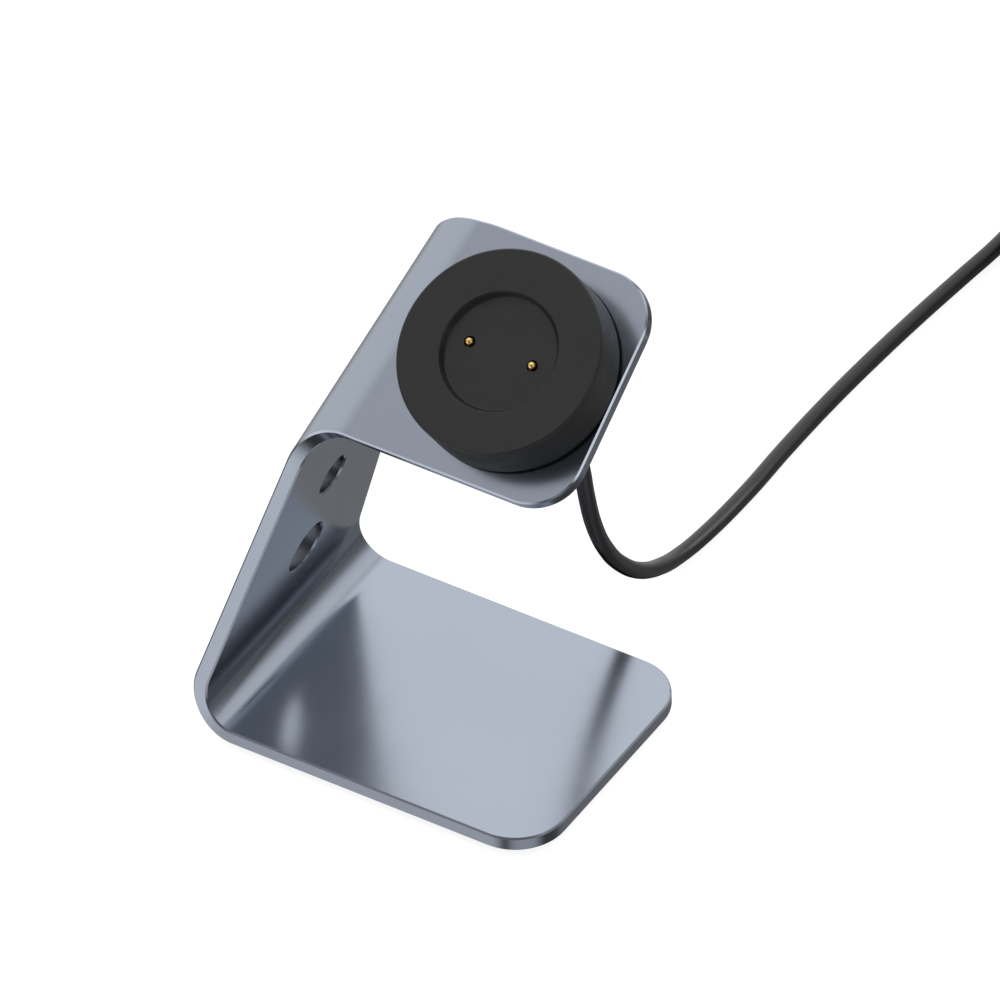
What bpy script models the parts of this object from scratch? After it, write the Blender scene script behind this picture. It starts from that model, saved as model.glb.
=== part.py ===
"""Charging dock for a smartwatch.

A single sheet of aluminium is cut to an outline and folded twice. It makes a
flat base, a side wall on the left that leans over the base, and a top plate
pitched toward the user. The second fold runs at a slant across the sheet,
which is what turns a side wall into a plate that faces forward. A round
charging puck sits on the top plate, with two sprung contact pins in a shallow
recess. Its cable leaves below the plate and ends in a USB plug.

Axes: +X is the user's right, the user sits at -Y, +Z is up. The origin is the
centre of the footprint of the dock's box, on the surface the dock stands on.
Lengths are in metres.
"""

import math

import bmesh
import bpy
from mathutils import Matrix, Vector

# Sheet and its folds
SHEET = 0.0028                        # thickness of the aluminium
EDGE_CHAMFER = 0.0003                 # small chamfer round the whole outline
BASE_LENGTH = 0.0687                  # from the sharp line of the first fold to the right edge
BASE_DEPTH = 0.0518
BASE_CORNER = 0.0095
BEND_1_RADIUS = 0.0060                # inside radius between base and wall
WALL_LEAN = math.radians(14.65)       # the wall leans to the right, over the base
WALL_RISE = 0.0613                    # up the wall, to the front end of the second fold
TOP_SETBACK = 0.0182                  # the top plate's front edge lies this far behind the base's
BEND_2_RADIUS = 0.0077                # inside radius between wall and top plate
TOP_PITCH = math.radians(34.6)        # the top plate faces up and toward the user
TOP_LENGTH = 0.0492
TOP_DEPTH = 0.0435
TOP_CORNER = 0.0093
BACK_CORNER = 0.0040                  # the rounding above the second fold runs this far along the back edge
BEND_STEPS = 14                       # flat strips in each fold

# Cable holes in the wall: height up the wall from the sharp fold, distance from the base's front edge
UPPER_HOLE = 0.0076
UPPER_HOLE_RISE = 0.0362
UPPER_HOLE_BACK = 0.0323
LOWER_HOLE = 0.0098
LOWER_HOLE_RISE = 0.0189
LOWER_HOLE_BACK = 0.0299
HOLE_CHAMFER = 0.0003

# Clearance between pieces that seat on each other, and between the coil or plug and the surface
FIT = 0.0003
REST = 0.0001

# Anti-slip pad under the base
PAD_THICK = 0.0008
PAD_INSET = 0.0035

# Puck, measured along its axis from the top plate's upper face
PUCK_FROM_RIGHT = 0.0186              # puck centre to the top plate's right edge
PUCK_FROM_FRONT = 0.0215              # puck centre to the top plate's front edge
PUCK_DIAMETER = 0.0370
PUCK_HEIGHT = 0.0105
PUCK_EDGE = 0.0005                    # chamfer of the upper rim
PUCK_WALL = 0.0021
PUCK_CEILING = 0.0015
FOOT_STEP = 0.0005                    # small step round the foot that leaves a shadow line
RECESS_DIAMETER = 0.0216
RECESS_DEPTH = 0.0013
RECESS_SLOPE = 0.0007                 # how far the recess wall leans in
FLOOR_THICK = 0.0015

# Base of the puck, its neck through the plate and the cap below
BASE_PLATE = 0.0012
NECK_DIAMETER = 0.0194
NECK_BORE = 0.0090
CAP_DIAMETER = 0.0300
CAP_THICK = 0.0032
CAP_FLOOR = 0.0015
CAP_EDGE = 0.0008
BOARD_DIAMETER = 0.0260
BOARD_THICK = 0.0008
BOARD_STANDOFF = 0.0005               # the ring on the base that the board sits on
STANDOFF_RING = 0.0200                # its mean diameter
STANDOFF_WIDTH = 0.0020

# Sprung contact pins
PIN_SPACING = 0.0125
PIN_DIAMETER = 0.0015
PIN_PROUD = 0.0009                    # dome above the recess floor
PIN_TRAVEL = 0.0008
PIN_FLANGE = 0.0024
PIN_FLANGE_THICK = 0.0005
BARREL_WALL = 0.0004
BARREL_LIP = 0.0005
SPRING_DIAMETER = 0.0017              # mean diameter of the coil
SPRING_WIRE = 0.00024
SPRING_TURNS = 3

# Magnets in the rim, screws in the neck
MAGNET_DIAMETER = 0.0040
MAGNET_THICK = 0.0025
SCREW_CIRCLE = 0.0142
SCREW_DIAMETER = 0.0020
SCREW_HEAD = 0.0036
SCREW_HEAD_THICK = 0.0006
SCREW_LENGTH = 0.0049
SCREW_SOCKET = 0.0015
SCREW_FLOOR = 0.0003                  # pilot holes go this much deeper than the screws

# Cable, strain relief and leads
CABLE_DIAMETER = 0.0030
RELIEF_FLANGE = 0.0078
RELIEF_FLANGE_THICK = 0.0015
RELIEF_STEM = 0.0054
RELIEF_COLLAR = 0.0064
RELIEF_TIP = 0.0042
RELIEF_LENGTH = 0.0085
LEAD_DIAMETER = 0.0010
LEAD_SPREAD = 0.0032

# Coil of the spare cable, and its tie
COIL_MEAN = 0.0360
COIL_SECTION = 0.0094
TIE_WIDTH = 0.0060
TIE_THICK = 0.0008

# USB plug
PLUG_WIDTH = 0.0156
PLUG_HEIGHT = 0.0076
PLUG_LENGTH = 0.0200
PLUG_ROUND = 0.0016
PLUG_RELIEF = 0.0080
SHELL_WIDTH = 0.0120
SHELL_HEIGHT = 0.0045
SHELL_OUT = 0.0119                    # how far the shell stands out of the overmould
SHELL_IN = 0.0027
SHELL_WALL = 0.0003
TONGUE_WIDTH = 0.0108
TONGUE_THICK = 0.0016
TONGUE_SHORT = 0.0008                 # the tongue ends this much inside the shell's mouth
CONTACT_WIDTH = 0.0011
CONTACT_PITCH = 0.0023
CONTACT_THICK = 0.00015
WINDOW = 0.0022                       # square latch windows in the shell
WINDOW_PITCH = 0.0046
WINDOW_BACK = 0.0058                  # their middle, behind the shell's mouth

for obj in list(bpy.data.objects):
    bpy.data.objects.remove(obj, do_unlink=True)

PARTS = bpy.data.collections.new("Watch charging dock")
CUTTERS = bpy.data.collections.new("Cutters")
bpy.context.scene.collection.children.link(PARTS)
bpy.context.scene.collection.children.link(CUTTERS)


# Materials and small helpers

def material(name, colour, roughness, metallic=0.0):
    """One Principled material."""
    made = bpy.data.materials.new(name)
    made.use_nodes = True
    shader = made.node_tree.nodes["Principled BSDF"]
    shader.inputs["Base Color"].default_value = (*colour, 1.0)
    shader.inputs["Roughness"].default_value = roughness
    shader.inputs["Metallic"].default_value = metallic
    made.diffuse_color = (*colour, 1.0)
    return made


def place(obj, look, parent=None, location=(0, 0, 0), rotation=(0, 0, 0)):
    """Links a part with its material, parent and position."""
    PARTS.objects.link(obj)
    if look:
        obj.data.materials.append(look)
    obj.parent = parent
    obj.location = location
    obj.rotation_euler = rotation
    return obj


def empty(name, matrix):
    axis = bpy.data.objects.new(name, None)
    axis.empty_display_size = 0.01
    axis.matrix_world = matrix
    PARTS.objects.link(axis)
    return axis


def cutter(obj, parent=None, location=(0, 0, 0), rotation=(0, 0, 0)):
    """A helper that is cut away and isn't part of the dock."""
    CUTTERS.objects.link(obj)
    obj.hide_render = True
    obj.display_type = "WIRE"
    obj.parent = parent
    obj.location = location
    obj.rotation_euler = rotation
    return obj


def cut(obj, tool, name):
    step = obj.modifiers.new(name, "BOOLEAN")
    step.operation = "DIFFERENCE"
    step.solver = "EXACT"
    step.object = tool


def turned(name, profile, closed=False, steps=32, smooth=math.radians(32)):
    """A profile of (radius, height) points turned round Z. It runs down its outer side."""
    mesh = bpy.data.meshes.new(name)
    bm = bmesh.new()
    points = [bm.verts.new((radius, 0, height)) for radius, height in profile]
    for first, second in zip(points, points[1:]):
        bm.edges.new((first, second))
    if closed:
        bm.edges.new((points[-1], points[0]))
    bm.to_mesh(mesh)
    bm.free()
    guide = bpy.data.objects.new(name + "_profile", mesh)
    CUTTERS.objects.link(guide)
    screw = guide.modifiers.new("Turn", "SCREW")
    screw.steps = steps
    screw.render_steps = steps
    screw.use_merge_vertices = True
    screw.merge_threshold = 0.00001
    graph = bpy.context.evaluated_depsgraph_get()
    solid = bpy.data.meshes.new_from_object(guide.evaluated_get(graph))
    bpy.data.objects.remove(guide, do_unlink=True)
    solid.name = name
    solid.shade_smooth()
    solid.set_sharp_from_angle(angle=smooth)
    return bpy.data.objects.new(name, solid)


def box(name, size, centre=(0, 0, 0)):
    mesh = bpy.data.meshes.new(name)
    bm = bmesh.new()
    bmesh.ops.create_cube(bm, size=1.0)
    bmesh.ops.scale(bm, vec=size, verts=bm.verts)
    bmesh.ops.translate(bm, vec=centre, verts=bm.verts)
    bm.to_mesh(mesh)
    bm.free()
    return bpy.data.objects.new(name, mesh)


def rod(name, diameter, low, high, sides=24):
    """A plain cylinder round Z."""
    mesh = bpy.data.meshes.new(name)
    bm = bmesh.new()
    bmesh.ops.create_cone(
        bm, cap_ends=True, segments=sides,
        radius1=diameter / 2, radius2=diameter / 2, depth=high - low,
    )
    bmesh.ops.translate(bm, vec=(0, 0, (high + low) / 2), verts=bm.verts)
    bm.to_mesh(mesh)
    bm.free()
    mesh.shade_smooth()
    mesh.set_sharp_from_angle(angle=math.radians(40))
    return bpy.data.objects.new(name, mesh)


def smooth_path(stops):
    """A dense smooth curve through the stops."""
    stops = [Vector(stop) for stop in stops]
    path = [stops[0] * 2 - stops[1], *stops, stops[-1] * 2 - stops[-2]]
    dense = []
    for index in range(1, len(path) - 2):
        p0, p1, p2, p3 = path[index - 1:index + 3]
        t1 = (p1 - p0).length ** 0.5
        t2 = t1 + (p2 - p1).length ** 0.5
        t3 = t2 + (p3 - p2).length ** 0.5
        for step in range(24):
            t = t1 + (t2 - t1) * step / 24
            a1 = p0 * ((t1 - t) / t1) + p1 * (t / t1)
            a2 = p1 * ((t2 - t) / (t2 - t1)) + p2 * ((t - t1) / (t2 - t1))
            a3 = p2 * ((t3 - t) / (t3 - t2)) + p3 * ((t - t2) / (t3 - t2))
            b1 = a1 * ((t2 - t) / t2) + a2 * (t / t2)
            b2 = a2 * ((t3 - t) / (t3 - t1)) + a3 * ((t - t1) / (t3 - t1))
            dense.append(b1 * ((t2 - t) / (t2 - t1)) + b2 * ((t - t1) / (t2 - t1)))
    dense.append(stops[-1])
    return dense


def evenly(dense, spacing):
    """The same curve with evenly spaced points."""
    total = sum((b - a).length for a, b in zip(dense, dense[1:]))
    count = max(2, round(total / spacing))
    points = [dense[0]]
    walked = 0.0
    for a, b in zip(dense, dense[1:]):
        length = (b - a).length
        while len(points) < count and walked + length >= total * len(points) / count:
            points.append(a.lerp(b, (total * len(points) / count - walked) / length))
        walked += length
    points.append(dense[-1])
    return points


def tube(name, points, diameter):
    """A round wire along points."""
    curve = bpy.data.curves.new(name, "CURVE")
    curve.dimensions = "3D"
    curve.bevel_depth = diameter / 2
    curve.bevel_resolution = 2
    curve.use_fill_caps = True
    line = curve.splines.new("POLY")
    line.points.add(len(points) - 1)
    for point, where in zip(line.points, points):
        point.co = (*where, 1.0)
    return bpy.data.objects.new(name, curve)


def arc(centre, radius, start, turn, steps):
    """Points on an arc, both ends included, angles in radians."""
    return [
        (
            centre[0] + radius * math.cos(start + turn * step / steps),
            centre[1] + radius * math.sin(start + turn * step / steps),
        )
        for step in range(steps + 1)
    ]


def blend(start, start_slope, end, end_slope, length, fraction):
    """Cubic that leaves one straight edge and joins the next without a corner."""
    t = fraction
    return (
        start * (2 * t ** 3 - 3 * t ** 2 + 1)
        + start_slope * length * (t ** 3 - 2 * t ** 2 + t)
        + end * (3 * t ** 2 - 2 * t ** 3)
        + end_slope * length * (t ** 3 - t ** 2)
    )


# Folded stand
#
# The sheet is drawn flat first, on the face that ends up inside the folds.
# Across the flat blank run the base, the first fold, the wall, the second
# fold and the top plate. Each fold is cut into narrow strips, and then every
# point is carried to its place on the folded sheet.

UP_WALL = Vector((math.sin(WALL_LEAN), 0, math.cos(WALL_LEAN)))
WALL_IN = Vector((math.cos(WALL_LEAN), 0, -math.sin(WALL_LEAN)))
UP_SLOPE = Vector((0, math.cos(TOP_PITCH), math.sin(TOP_PITCH)))
TOP_OUT = Vector((0, -math.sin(TOP_PITCH), math.cos(TOP_PITCH)))
RIGHT = Vector((1, 0, 0))
BACK = Vector((0, 1, 0))

TURN_1 = math.pi / 2 + WALL_LEAN
SET_1 = BEND_1_RADIUS * math.tan(TURN_1 / 2)
ARC_1 = BEND_1_RADIUS * TURN_1

CREASE = WALL_IN.cross(TOP_OUT).normalized()
CREASE = CREASE if CREASE.y > 0 else -CREASE
CREASE_UP = CREASE.dot(UP_WALL)
CREASE_BACK = CREASE.dot(BACK)
ACROSS_WALL = UP_WALL * CREASE_BACK - BACK * CREASE_UP
ACROSS_TOP = RIGHT * CREASE.dot(UP_SLOPE) - UP_SLOPE * CREASE.dot(RIGHT)
TURN_2 = ACROSS_WALL.angle(ACROSS_TOP)
SET_2 = BEND_2_RADIUS * math.tan(TURN_2 / 2)
ARC_2 = BEND_2_RADIUS * TURN_2

# Front end of the second fold's sharp line, on the inside of the sheet
FOLD_FRONT = UP_WALL * WALL_RISE + BACK * TOP_SETBACK + Vector((0, 0, SHEET))
CREASE_LENGTH = TOP_DEPTH / CREASE.dot(UP_SLOPE)
WALL_TOP_BACK = WALL_RISE + CREASE_LENGTH * CREASE_UP
FOLD_BACK_Y = TOP_SETBACK + CREASE_LENGTH * CREASE_BACK


def crease_to_blank(across, along):
    """From the second fold's own directions to the flat blank."""
    rise = WALL_RISE + across * CREASE_BACK + along * CREASE_UP
    depth = TOP_SETBACK - across * CREASE_UP + along * CREASE_BACK
    return rise - SET_1 + ARC_1, depth


def blank_to_crease(run, depth):
    rise = run - ARC_1 + SET_1 - WALL_RISE
    back = depth - TOP_SETBACK
    return rise * CREASE_BACK - back * CREASE_UP, rise * CREASE_UP + back * CREASE_BACK


def top_to_blank(right, slope):
    """A point of the top plate, from its front left sharp corner, on the flat blank."""
    away = right * RIGHT.dot(ACROSS_TOP) + slope * UP_SLOPE.dot(ACROSS_TOP)
    along = right * RIGHT.dot(CREASE) + slope * UP_SLOPE.dot(CREASE)
    return crease_to_blank(away - 2 * SET_2 + ARC_2, along)


def folded(run, depth):
    """Where a point of the flat blank ends up."""
    if run <= 0:
        return Vector((SET_1 - run, depth, SHEET))
    if run <= ARC_1:
        turn = run / BEND_1_RADIUS
        return Vector((
            SET_1 - BEND_1_RADIUS * math.sin(turn),
            depth,
            SHEET + BEND_1_RADIUS * (1 - math.cos(turn)),
        ))
    across, along = blank_to_crease(run, depth)
    past = across + SET_2
    on_wall = FOLD_FRONT + CREASE * along
    if past <= 0:
        return on_wall + ACROSS_WALL * across
    turn = min(past, ARC_2) / BEND_2_RADIUS
    curved = (
        on_wall
        - ACROSS_WALL * SET_2
        + ACROSS_WALL * (BEND_2_RADIUS * math.sin(turn))
        + WALL_IN * (BEND_2_RADIUS * (1 - math.cos(turn)))
    )
    return curved + ACROSS_TOP * max(past - ARC_2, 0)


def wall_edge(front):
    """Slope and start of the wall's front or back edge on the blank."""
    start = 0.0 if front else BASE_DEPTH
    end = TOP_SETBACK if front else FOLD_BACK_Y
    rise = WALL_RISE if front else WALL_TOP_BACK
    return start, (end - start) / rise


def side_of_blank(front):
    """Points of the front or back edge, from the base to the top plate."""
    start, slope = wall_edge(front)
    points = []
    for step in range(BEND_STEPS + 1):
        part = step / BEND_STEPS
        points.append((
            ARC_1 * part,
            blend(start, 0, start + slope * SET_1, slope, ARC_1, part),
        ))
    # The edge meets the second fold at its own slant, and leaves it along the top plate's edge.
    along_start = 0.0 if front else CREASE_LENGTH
    edge_across = CREASE_BACK - slope * CREASE_UP
    edge_along = CREASE_UP + slope * CREASE_BACK
    wall_slope = edge_along / edge_across
    top_slope = RIGHT.dot(CREASE) / RIGHT.dot(ACROSS_TOP)
    first = along_start - SET_2 * wall_slope
    run_out = 0.0 if front else BACK_CORNER
    last = along_start + (SET_2 + run_out) * top_slope
    for step in range(BEND_STEPS + 1):
        part = step / BEND_STEPS
        points.append(crease_to_blank(
            (ARC_2 + run_out) * part - SET_2,
            blend(first, wall_slope, last, top_slope, ARC_2 + run_out, part),
        ))
    return points


def blank_outline():
    """The whole outline of the flat sheet, once round."""
    end = SET_1 - BASE_LENGTH
    corner = BASE_CORNER
    outline = arc((end + corner, corner), corner, math.pi, math.pi / 2, 10)
    outline += side_of_blank(front=True)
    corner = TOP_CORNER
    outline += [
        top_to_blank(*point)
        for point in arc((TOP_LENGTH - corner, corner), corner, -math.pi / 2, math.pi / 2, 10)
    ]
    outline += [
        top_to_blank(*point)
        for point in arc((TOP_LENGTH - corner, TOP_DEPTH - corner), corner, 0, math.pi / 2, 10)
    ]
    outline += reversed(side_of_blank(front=False))
    corner = BASE_CORNER
    outline += arc((end + corner, BASE_DEPTH - corner), corner, math.pi / 2, math.pi / 2, 10)
    return outline


def folded_sheet(name):
    """Fills the outline, cuts the fold strips and folds the sheet."""
    mesh = bpy.data.meshes.new(name)
    bm = bmesh.new()
    corners = [bm.verts.new((run, depth, 0)) for run, depth in blank_outline()]
    edges = [bm.edges.new((a, b)) for a, b in zip(corners, corners[1:] + corners[:1])]
    bmesh.ops.contextual_create(bm, geom=edges)
    for face in bm.faces:
        face.normal_update()
        if face.normal.z < 0:
            face.normal_flip()
    for step in range(BEND_STEPS + 1):
        part = step / BEND_STEPS
        slant = crease_to_blank(ARC_2 * part - SET_2, 0)
        lines = (
            ((ARC_1 * part, 0, 0), (1, 0, 0)),
            ((*slant, 0), (CREASE_BACK, -CREASE_UP, 0)),
        )
        for point, normal in lines:
            bmesh.ops.bisect_plane(
                bm,
                geom=bm.verts[:] + bm.edges[:] + bm.faces[:],
                dist=0.000002,
                plane_co=point,
                plane_no=normal,
            )
    for vert in bm.verts:
        vert.co = folded(vert.co.x, vert.co.y)
    bm.to_mesh(mesh)
    bm.free()
    mesh.shade_smooth()
    return bpy.data.objects.new(name, mesh)


# The dock's box, from which the origin is set: leftmost point of the first
# fold, the base's right edge, and the top plate's back edge.
LEFT = SET_1 - BEND_1_RADIUS - SHEET
MIDDLE_X = (LEFT + BASE_LENGTH) / 2
MIDDLE_Y = (FOLD_BACK_Y - 0.0) / 2
LIFT = PAD_THICK + FIT
STAND_AT = Vector((-MIDDLE_X, -MIDDLE_Y, LIFT))

stand = place(
    folded_sheet("stand"),
    material("anodised aluminium", (0.30, 0.32, 0.38), 0.32, 1.0),
    location=STAND_AT,
)
thicken = stand.modifiers.new("Sheet thickness", "SOLIDIFY")
thicken.thickness = SHEET
thicken.offset = 1.0
thicken.use_even_offset = True
edges = stand.modifiers.new("Edge chamfer", "BEVEL")
edges.width = EDGE_CHAMFER
edges.segments = 1
edges.limit_method = "ANGLE"
edges.angle_limit = math.radians(60)
edges.use_clamp_overlap = False


def hole_tool(name, diameter, steps=40):
    """A through cut with a chamfer at both faces of the sheet."""
    radius = diameter / 2
    half = SHEET / 2
    over = half + 0.001
    flare = radius + HOLE_CHAMFER + 0.001
    return turned(name, [
        (0, over), (flare, over), (radius, half - HOLE_CHAMFER),
        (radius, HOLE_CHAMFER - half), (flare, -over), (0, -over),
    ], steps=steps)


def wall_point(rise, back):
    """World place of a point in the middle of the wall's thickness."""
    return STAND_AT + UP_WALL * rise + BACK * back + Vector((0, 0, SHEET)) - WALL_IN * (SHEET / 2)


WALL_TURN = (0, math.pi / 2 + WALL_LEAN, 0)
upper = cutter(
    hole_tool("upper_hole_tool", UPPER_HOLE),
    location=wall_point(UPPER_HOLE_RISE, UPPER_HOLE_BACK), rotation=WALL_TURN,
)
lower = cutter(
    hole_tool("lower_hole_tool", LOWER_HOLE),
    location=wall_point(LOWER_HOLE_RISE, LOWER_HOLE_BACK), rotation=WALL_TURN,
)

# Puck axis: an empty on the top plate's upper face, its Z along the plate's normal
PUCK_AT = (
    STAND_AT + FOLD_FRONT
    + RIGHT * (TOP_LENGTH - PUCK_FROM_RIGHT) + UP_SLOPE * PUCK_FROM_FRONT + TOP_OUT * SHEET
)
puck = empty("puck_axis", Matrix.Translation(PUCK_AT) @ Matrix.Rotation(TOP_PITCH, 4, "X"))
bpy.context.view_layer.update()

neck_tool = cutter(
    hole_tool("neck_hole_tool", NECK_DIAMETER + 2 * FIT, steps=48),
    parent=puck, location=(0, 0, -SHEET / 2),
)
cut(stand, upper, "Upper cable hole")
cut(stand, lower, "Lower cable hole")
cut(stand, neck_tool, "Neck hole")


# Pad under the base

def rounded_outline(left, right, front, back, radius, far_radius):
    steps = 6
    return (
        arc((left + radius, front + radius), radius, math.pi, math.pi / 2, steps)
        + arc((right - far_radius, front + far_radius), far_radius, -math.pi / 2, math.pi / 2, steps)
        + arc((right - far_radius, back - far_radius), far_radius, 0, math.pi / 2, steps)
        + arc((left + radius, back - radius), radius, math.pi / 2, math.pi / 2, steps)
    )


def flat_piece(name, outline, thickness):
    """A flat outline as a filled 2D curve, thickened both ways."""
    curve = bpy.data.curves.new(name, "CURVE")
    curve.dimensions = "2D"
    curve.fill_mode = "BOTH"
    curve.extrude = thickness / 2
    line = curve.splines.new("POLY")
    line.points.add(len(outline) - 1)
    for point, (x, y) in zip(line.points, outline):
        point.co = (x, y, 0, 1)
    line.use_cyclic_u = True
    return bpy.data.objects.new(name, curve)


place(
    flat_piece("base_pad", rounded_outline(
        SET_1 + PAD_INSET, BASE_LENGTH - PAD_INSET, PAD_INSET, BASE_DEPTH - PAD_INSET,
        PAD_INSET, BASE_CORNER - PAD_INSET,
    ), PAD_THICK),
    material("silicone pad", (0.03, 0.03, 0.032), 0.85),
    location=(-MIDDLE_X, -MIDDLE_Y, PAD_THICK / 2),
)

# Puck housing: a cup turned upside down, with the contact recess in its top
PUCK_R = PUCK_DIAMETER / 2
INNER_R = PUCK_R - PUCK_WALL
RECESS_R = RECESS_DIAMETER / 2
RECESS_FLOOR = PUCK_HEIGHT - RECESS_DEPTH
RECESS_UNDER = RECESS_FLOOR - FLOOR_THICK
RIM_UNDER = PUCK_HEIGHT - PUCK_CEILING
SKIRT_R = RECESS_R + RECESS_SLOPE
housing = place(
    turned("puck_housing", [
        (0, RECESS_FLOOR),
        (RECESS_R - RECESS_SLOPE, RECESS_FLOOR),
        (RECESS_R, PUCK_HEIGHT),
        (PUCK_R - PUCK_EDGE, PUCK_HEIGHT),
        (PUCK_R - PUCK_EDGE * 0.3, PUCK_HEIGHT - PUCK_EDGE * 0.3),
        (PUCK_R, PUCK_HEIGHT - PUCK_EDGE),
        (PUCK_R, FIT + FOOT_STEP),
        (PUCK_R - FOOT_STEP, FIT + FOOT_STEP),
        (PUCK_R - FOOT_STEP, FIT),
        (INNER_R, FIT),
        (INNER_R, RIM_UNDER),
        (SKIRT_R, RIM_UNDER),
        (SKIRT_R, RECESS_UNDER),
        (0, RECESS_UNDER),
    ], steps=64),
    material("puck plastic", (0.030, 0.030, 0.031), 0.55),
    parent=puck,
)
PIN_HOLE = PIN_DIAMETER + 2 * FIT
for side, name in ((-1, "left"), (1, "right")):
    tool = cutter(
        rod("pin_hole_tool_" + name, PIN_HOLE, RECESS_UNDER - 0.001, PUCK_HEIGHT),
        parent=puck, location=(side * PIN_SPACING / 2, 0, 0),
    )
    cut(housing, tool, "Pin hole " + name)

# Base of the puck: closes the cup, carries the board and goes through the plate
BASE_R = INNER_R - FIT
BASE_TOP = FIT + BASE_PLATE
STANDOFF_TOP = BASE_TOP + BOARD_STANDOFF
CAP_TOP = -SHEET - FIT
CAP_LOW = CAP_TOP - CAP_THICK
CAP_FLOOR_TOP = CAP_LOW + CAP_FLOOR
NECK_LOW = CAP_FLOOR_TOP + FIT
NECK_R = NECK_DIAMETER / 2
RING_IN = (STANDOFF_RING - STANDOFF_WIDTH) / 2
RING_OUT = (STANDOFF_RING + STANDOFF_WIDTH) / 2
puck_base = place(
    turned("puck_base", [
        (NECK_BORE / 2, BASE_TOP),
        (RING_IN, BASE_TOP),
        (RING_IN, STANDOFF_TOP),
        (RING_OUT, STANDOFF_TOP),
        (RING_OUT, BASE_TOP),
        (BASE_R, BASE_TOP),
        (BASE_R, FIT),
        (NECK_R, FIT),
        (NECK_R, NECK_LOW),
        (NECK_BORE / 2, NECK_LOW),
    ], closed=True, steps=48),
    material("puck base plastic", (0.035, 0.035, 0.037), 0.60),
    parent=puck,
)

# Cap below the plate, round the end of the neck
cap = place(
    turned("outlet_cap", [
        (NECK_R + FIT, CAP_TOP),
        (CAP_DIAMETER / 2, CAP_TOP),
        (CAP_DIAMETER / 2, CAP_LOW + CAP_EDGE),
        (CAP_DIAMETER / 2 - CAP_EDGE, CAP_LOW),
        (RELIEF_STEM / 2 + FIT, CAP_LOW),
        (RELIEF_STEM / 2 + FIT, CAP_FLOOR_TOP),
        (NECK_R + FIT, CAP_FLOOR_TOP),
    ], closed=True, steps=48),
    material("cap plastic", (0.034, 0.034, 0.036), 0.60),
    parent=puck,
)

# Screws up through the cap into the neck
SCREW_LOW = CAP_LOW
SHOULDER = SCREW_LOW + SCREW_HEAD_THICK
SCREW_TOP = SHOULDER + SCREW_LENGTH
for number, degrees in enumerate((60, 180, 300), start=1):
    angle = math.radians(degrees)
    spot = (SCREW_CIRCLE / 2 * math.cos(angle), SCREW_CIRCLE / 2 * math.sin(angle), 0)
    tool = cutter(
        rod(f"pilot_tool_{number}", SCREW_DIAMETER + 2 * FIT, NECK_LOW - 0.001, SCREW_TOP + SCREW_FLOOR, 16),
        parent=puck, location=spot,
    )
    cut(puck_base, tool, f"Pilot hole {number}")
    tool = cutter(
        turned(f"screw_hole_tool_{number}", [
            (0, CAP_FLOOR_TOP + 0.001),
            (SCREW_DIAMETER / 2 + FIT, CAP_FLOOR_TOP + 0.001),
            (SCREW_DIAMETER / 2 + FIT, SHOULDER + FIT),
            (SCREW_HEAD / 2 + FIT, SHOULDER + FIT),
            (SCREW_HEAD / 2 + FIT, CAP_LOW - 0.001),
            (0, CAP_LOW - 0.001),
        ], steps=20),
        parent=puck, location=spot,
    )
    cut(cap, tool, f"Screw hole {number}")
    screw = place(
        turned(f"cap_screw_{number}", [
            (0, SCREW_TOP),
            (SCREW_DIAMETER / 2 * 0.7, SCREW_TOP),
            (SCREW_DIAMETER / 2, SCREW_TOP - 0.0003),
            (SCREW_DIAMETER / 2, SHOULDER),
            (SCREW_HEAD / 2, SHOULDER),
            (SCREW_HEAD / 2, SCREW_LOW),
            (0, SCREW_LOW),
        ], steps=16),
        material(f"screw steel {number}", (0.45, 0.45, 0.47), 0.35, 1.0),
        parent=puck, location=spot,
    )
    socket = cutter(
        rod(f"socket_tool_{number}", SCREW_SOCKET, SCREW_LOW - 0.001, SCREW_LOW + SCREW_HEAD_THICK, 6),
        parent=puck, location=spot,
    )
    cut(screw, socket, "Hex socket")

# Contact board
BOARD_LOW = STANDOFF_TOP + FIT
BOARD_TOP = BOARD_LOW + BOARD_THICK
place(
    rod("contact_board", BOARD_DIAMETER, BOARD_LOW, BOARD_TOP, 40),
    material("circuit board", (0.02, 0.11, 0.05), 0.45),
    parent=puck,
)

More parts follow.
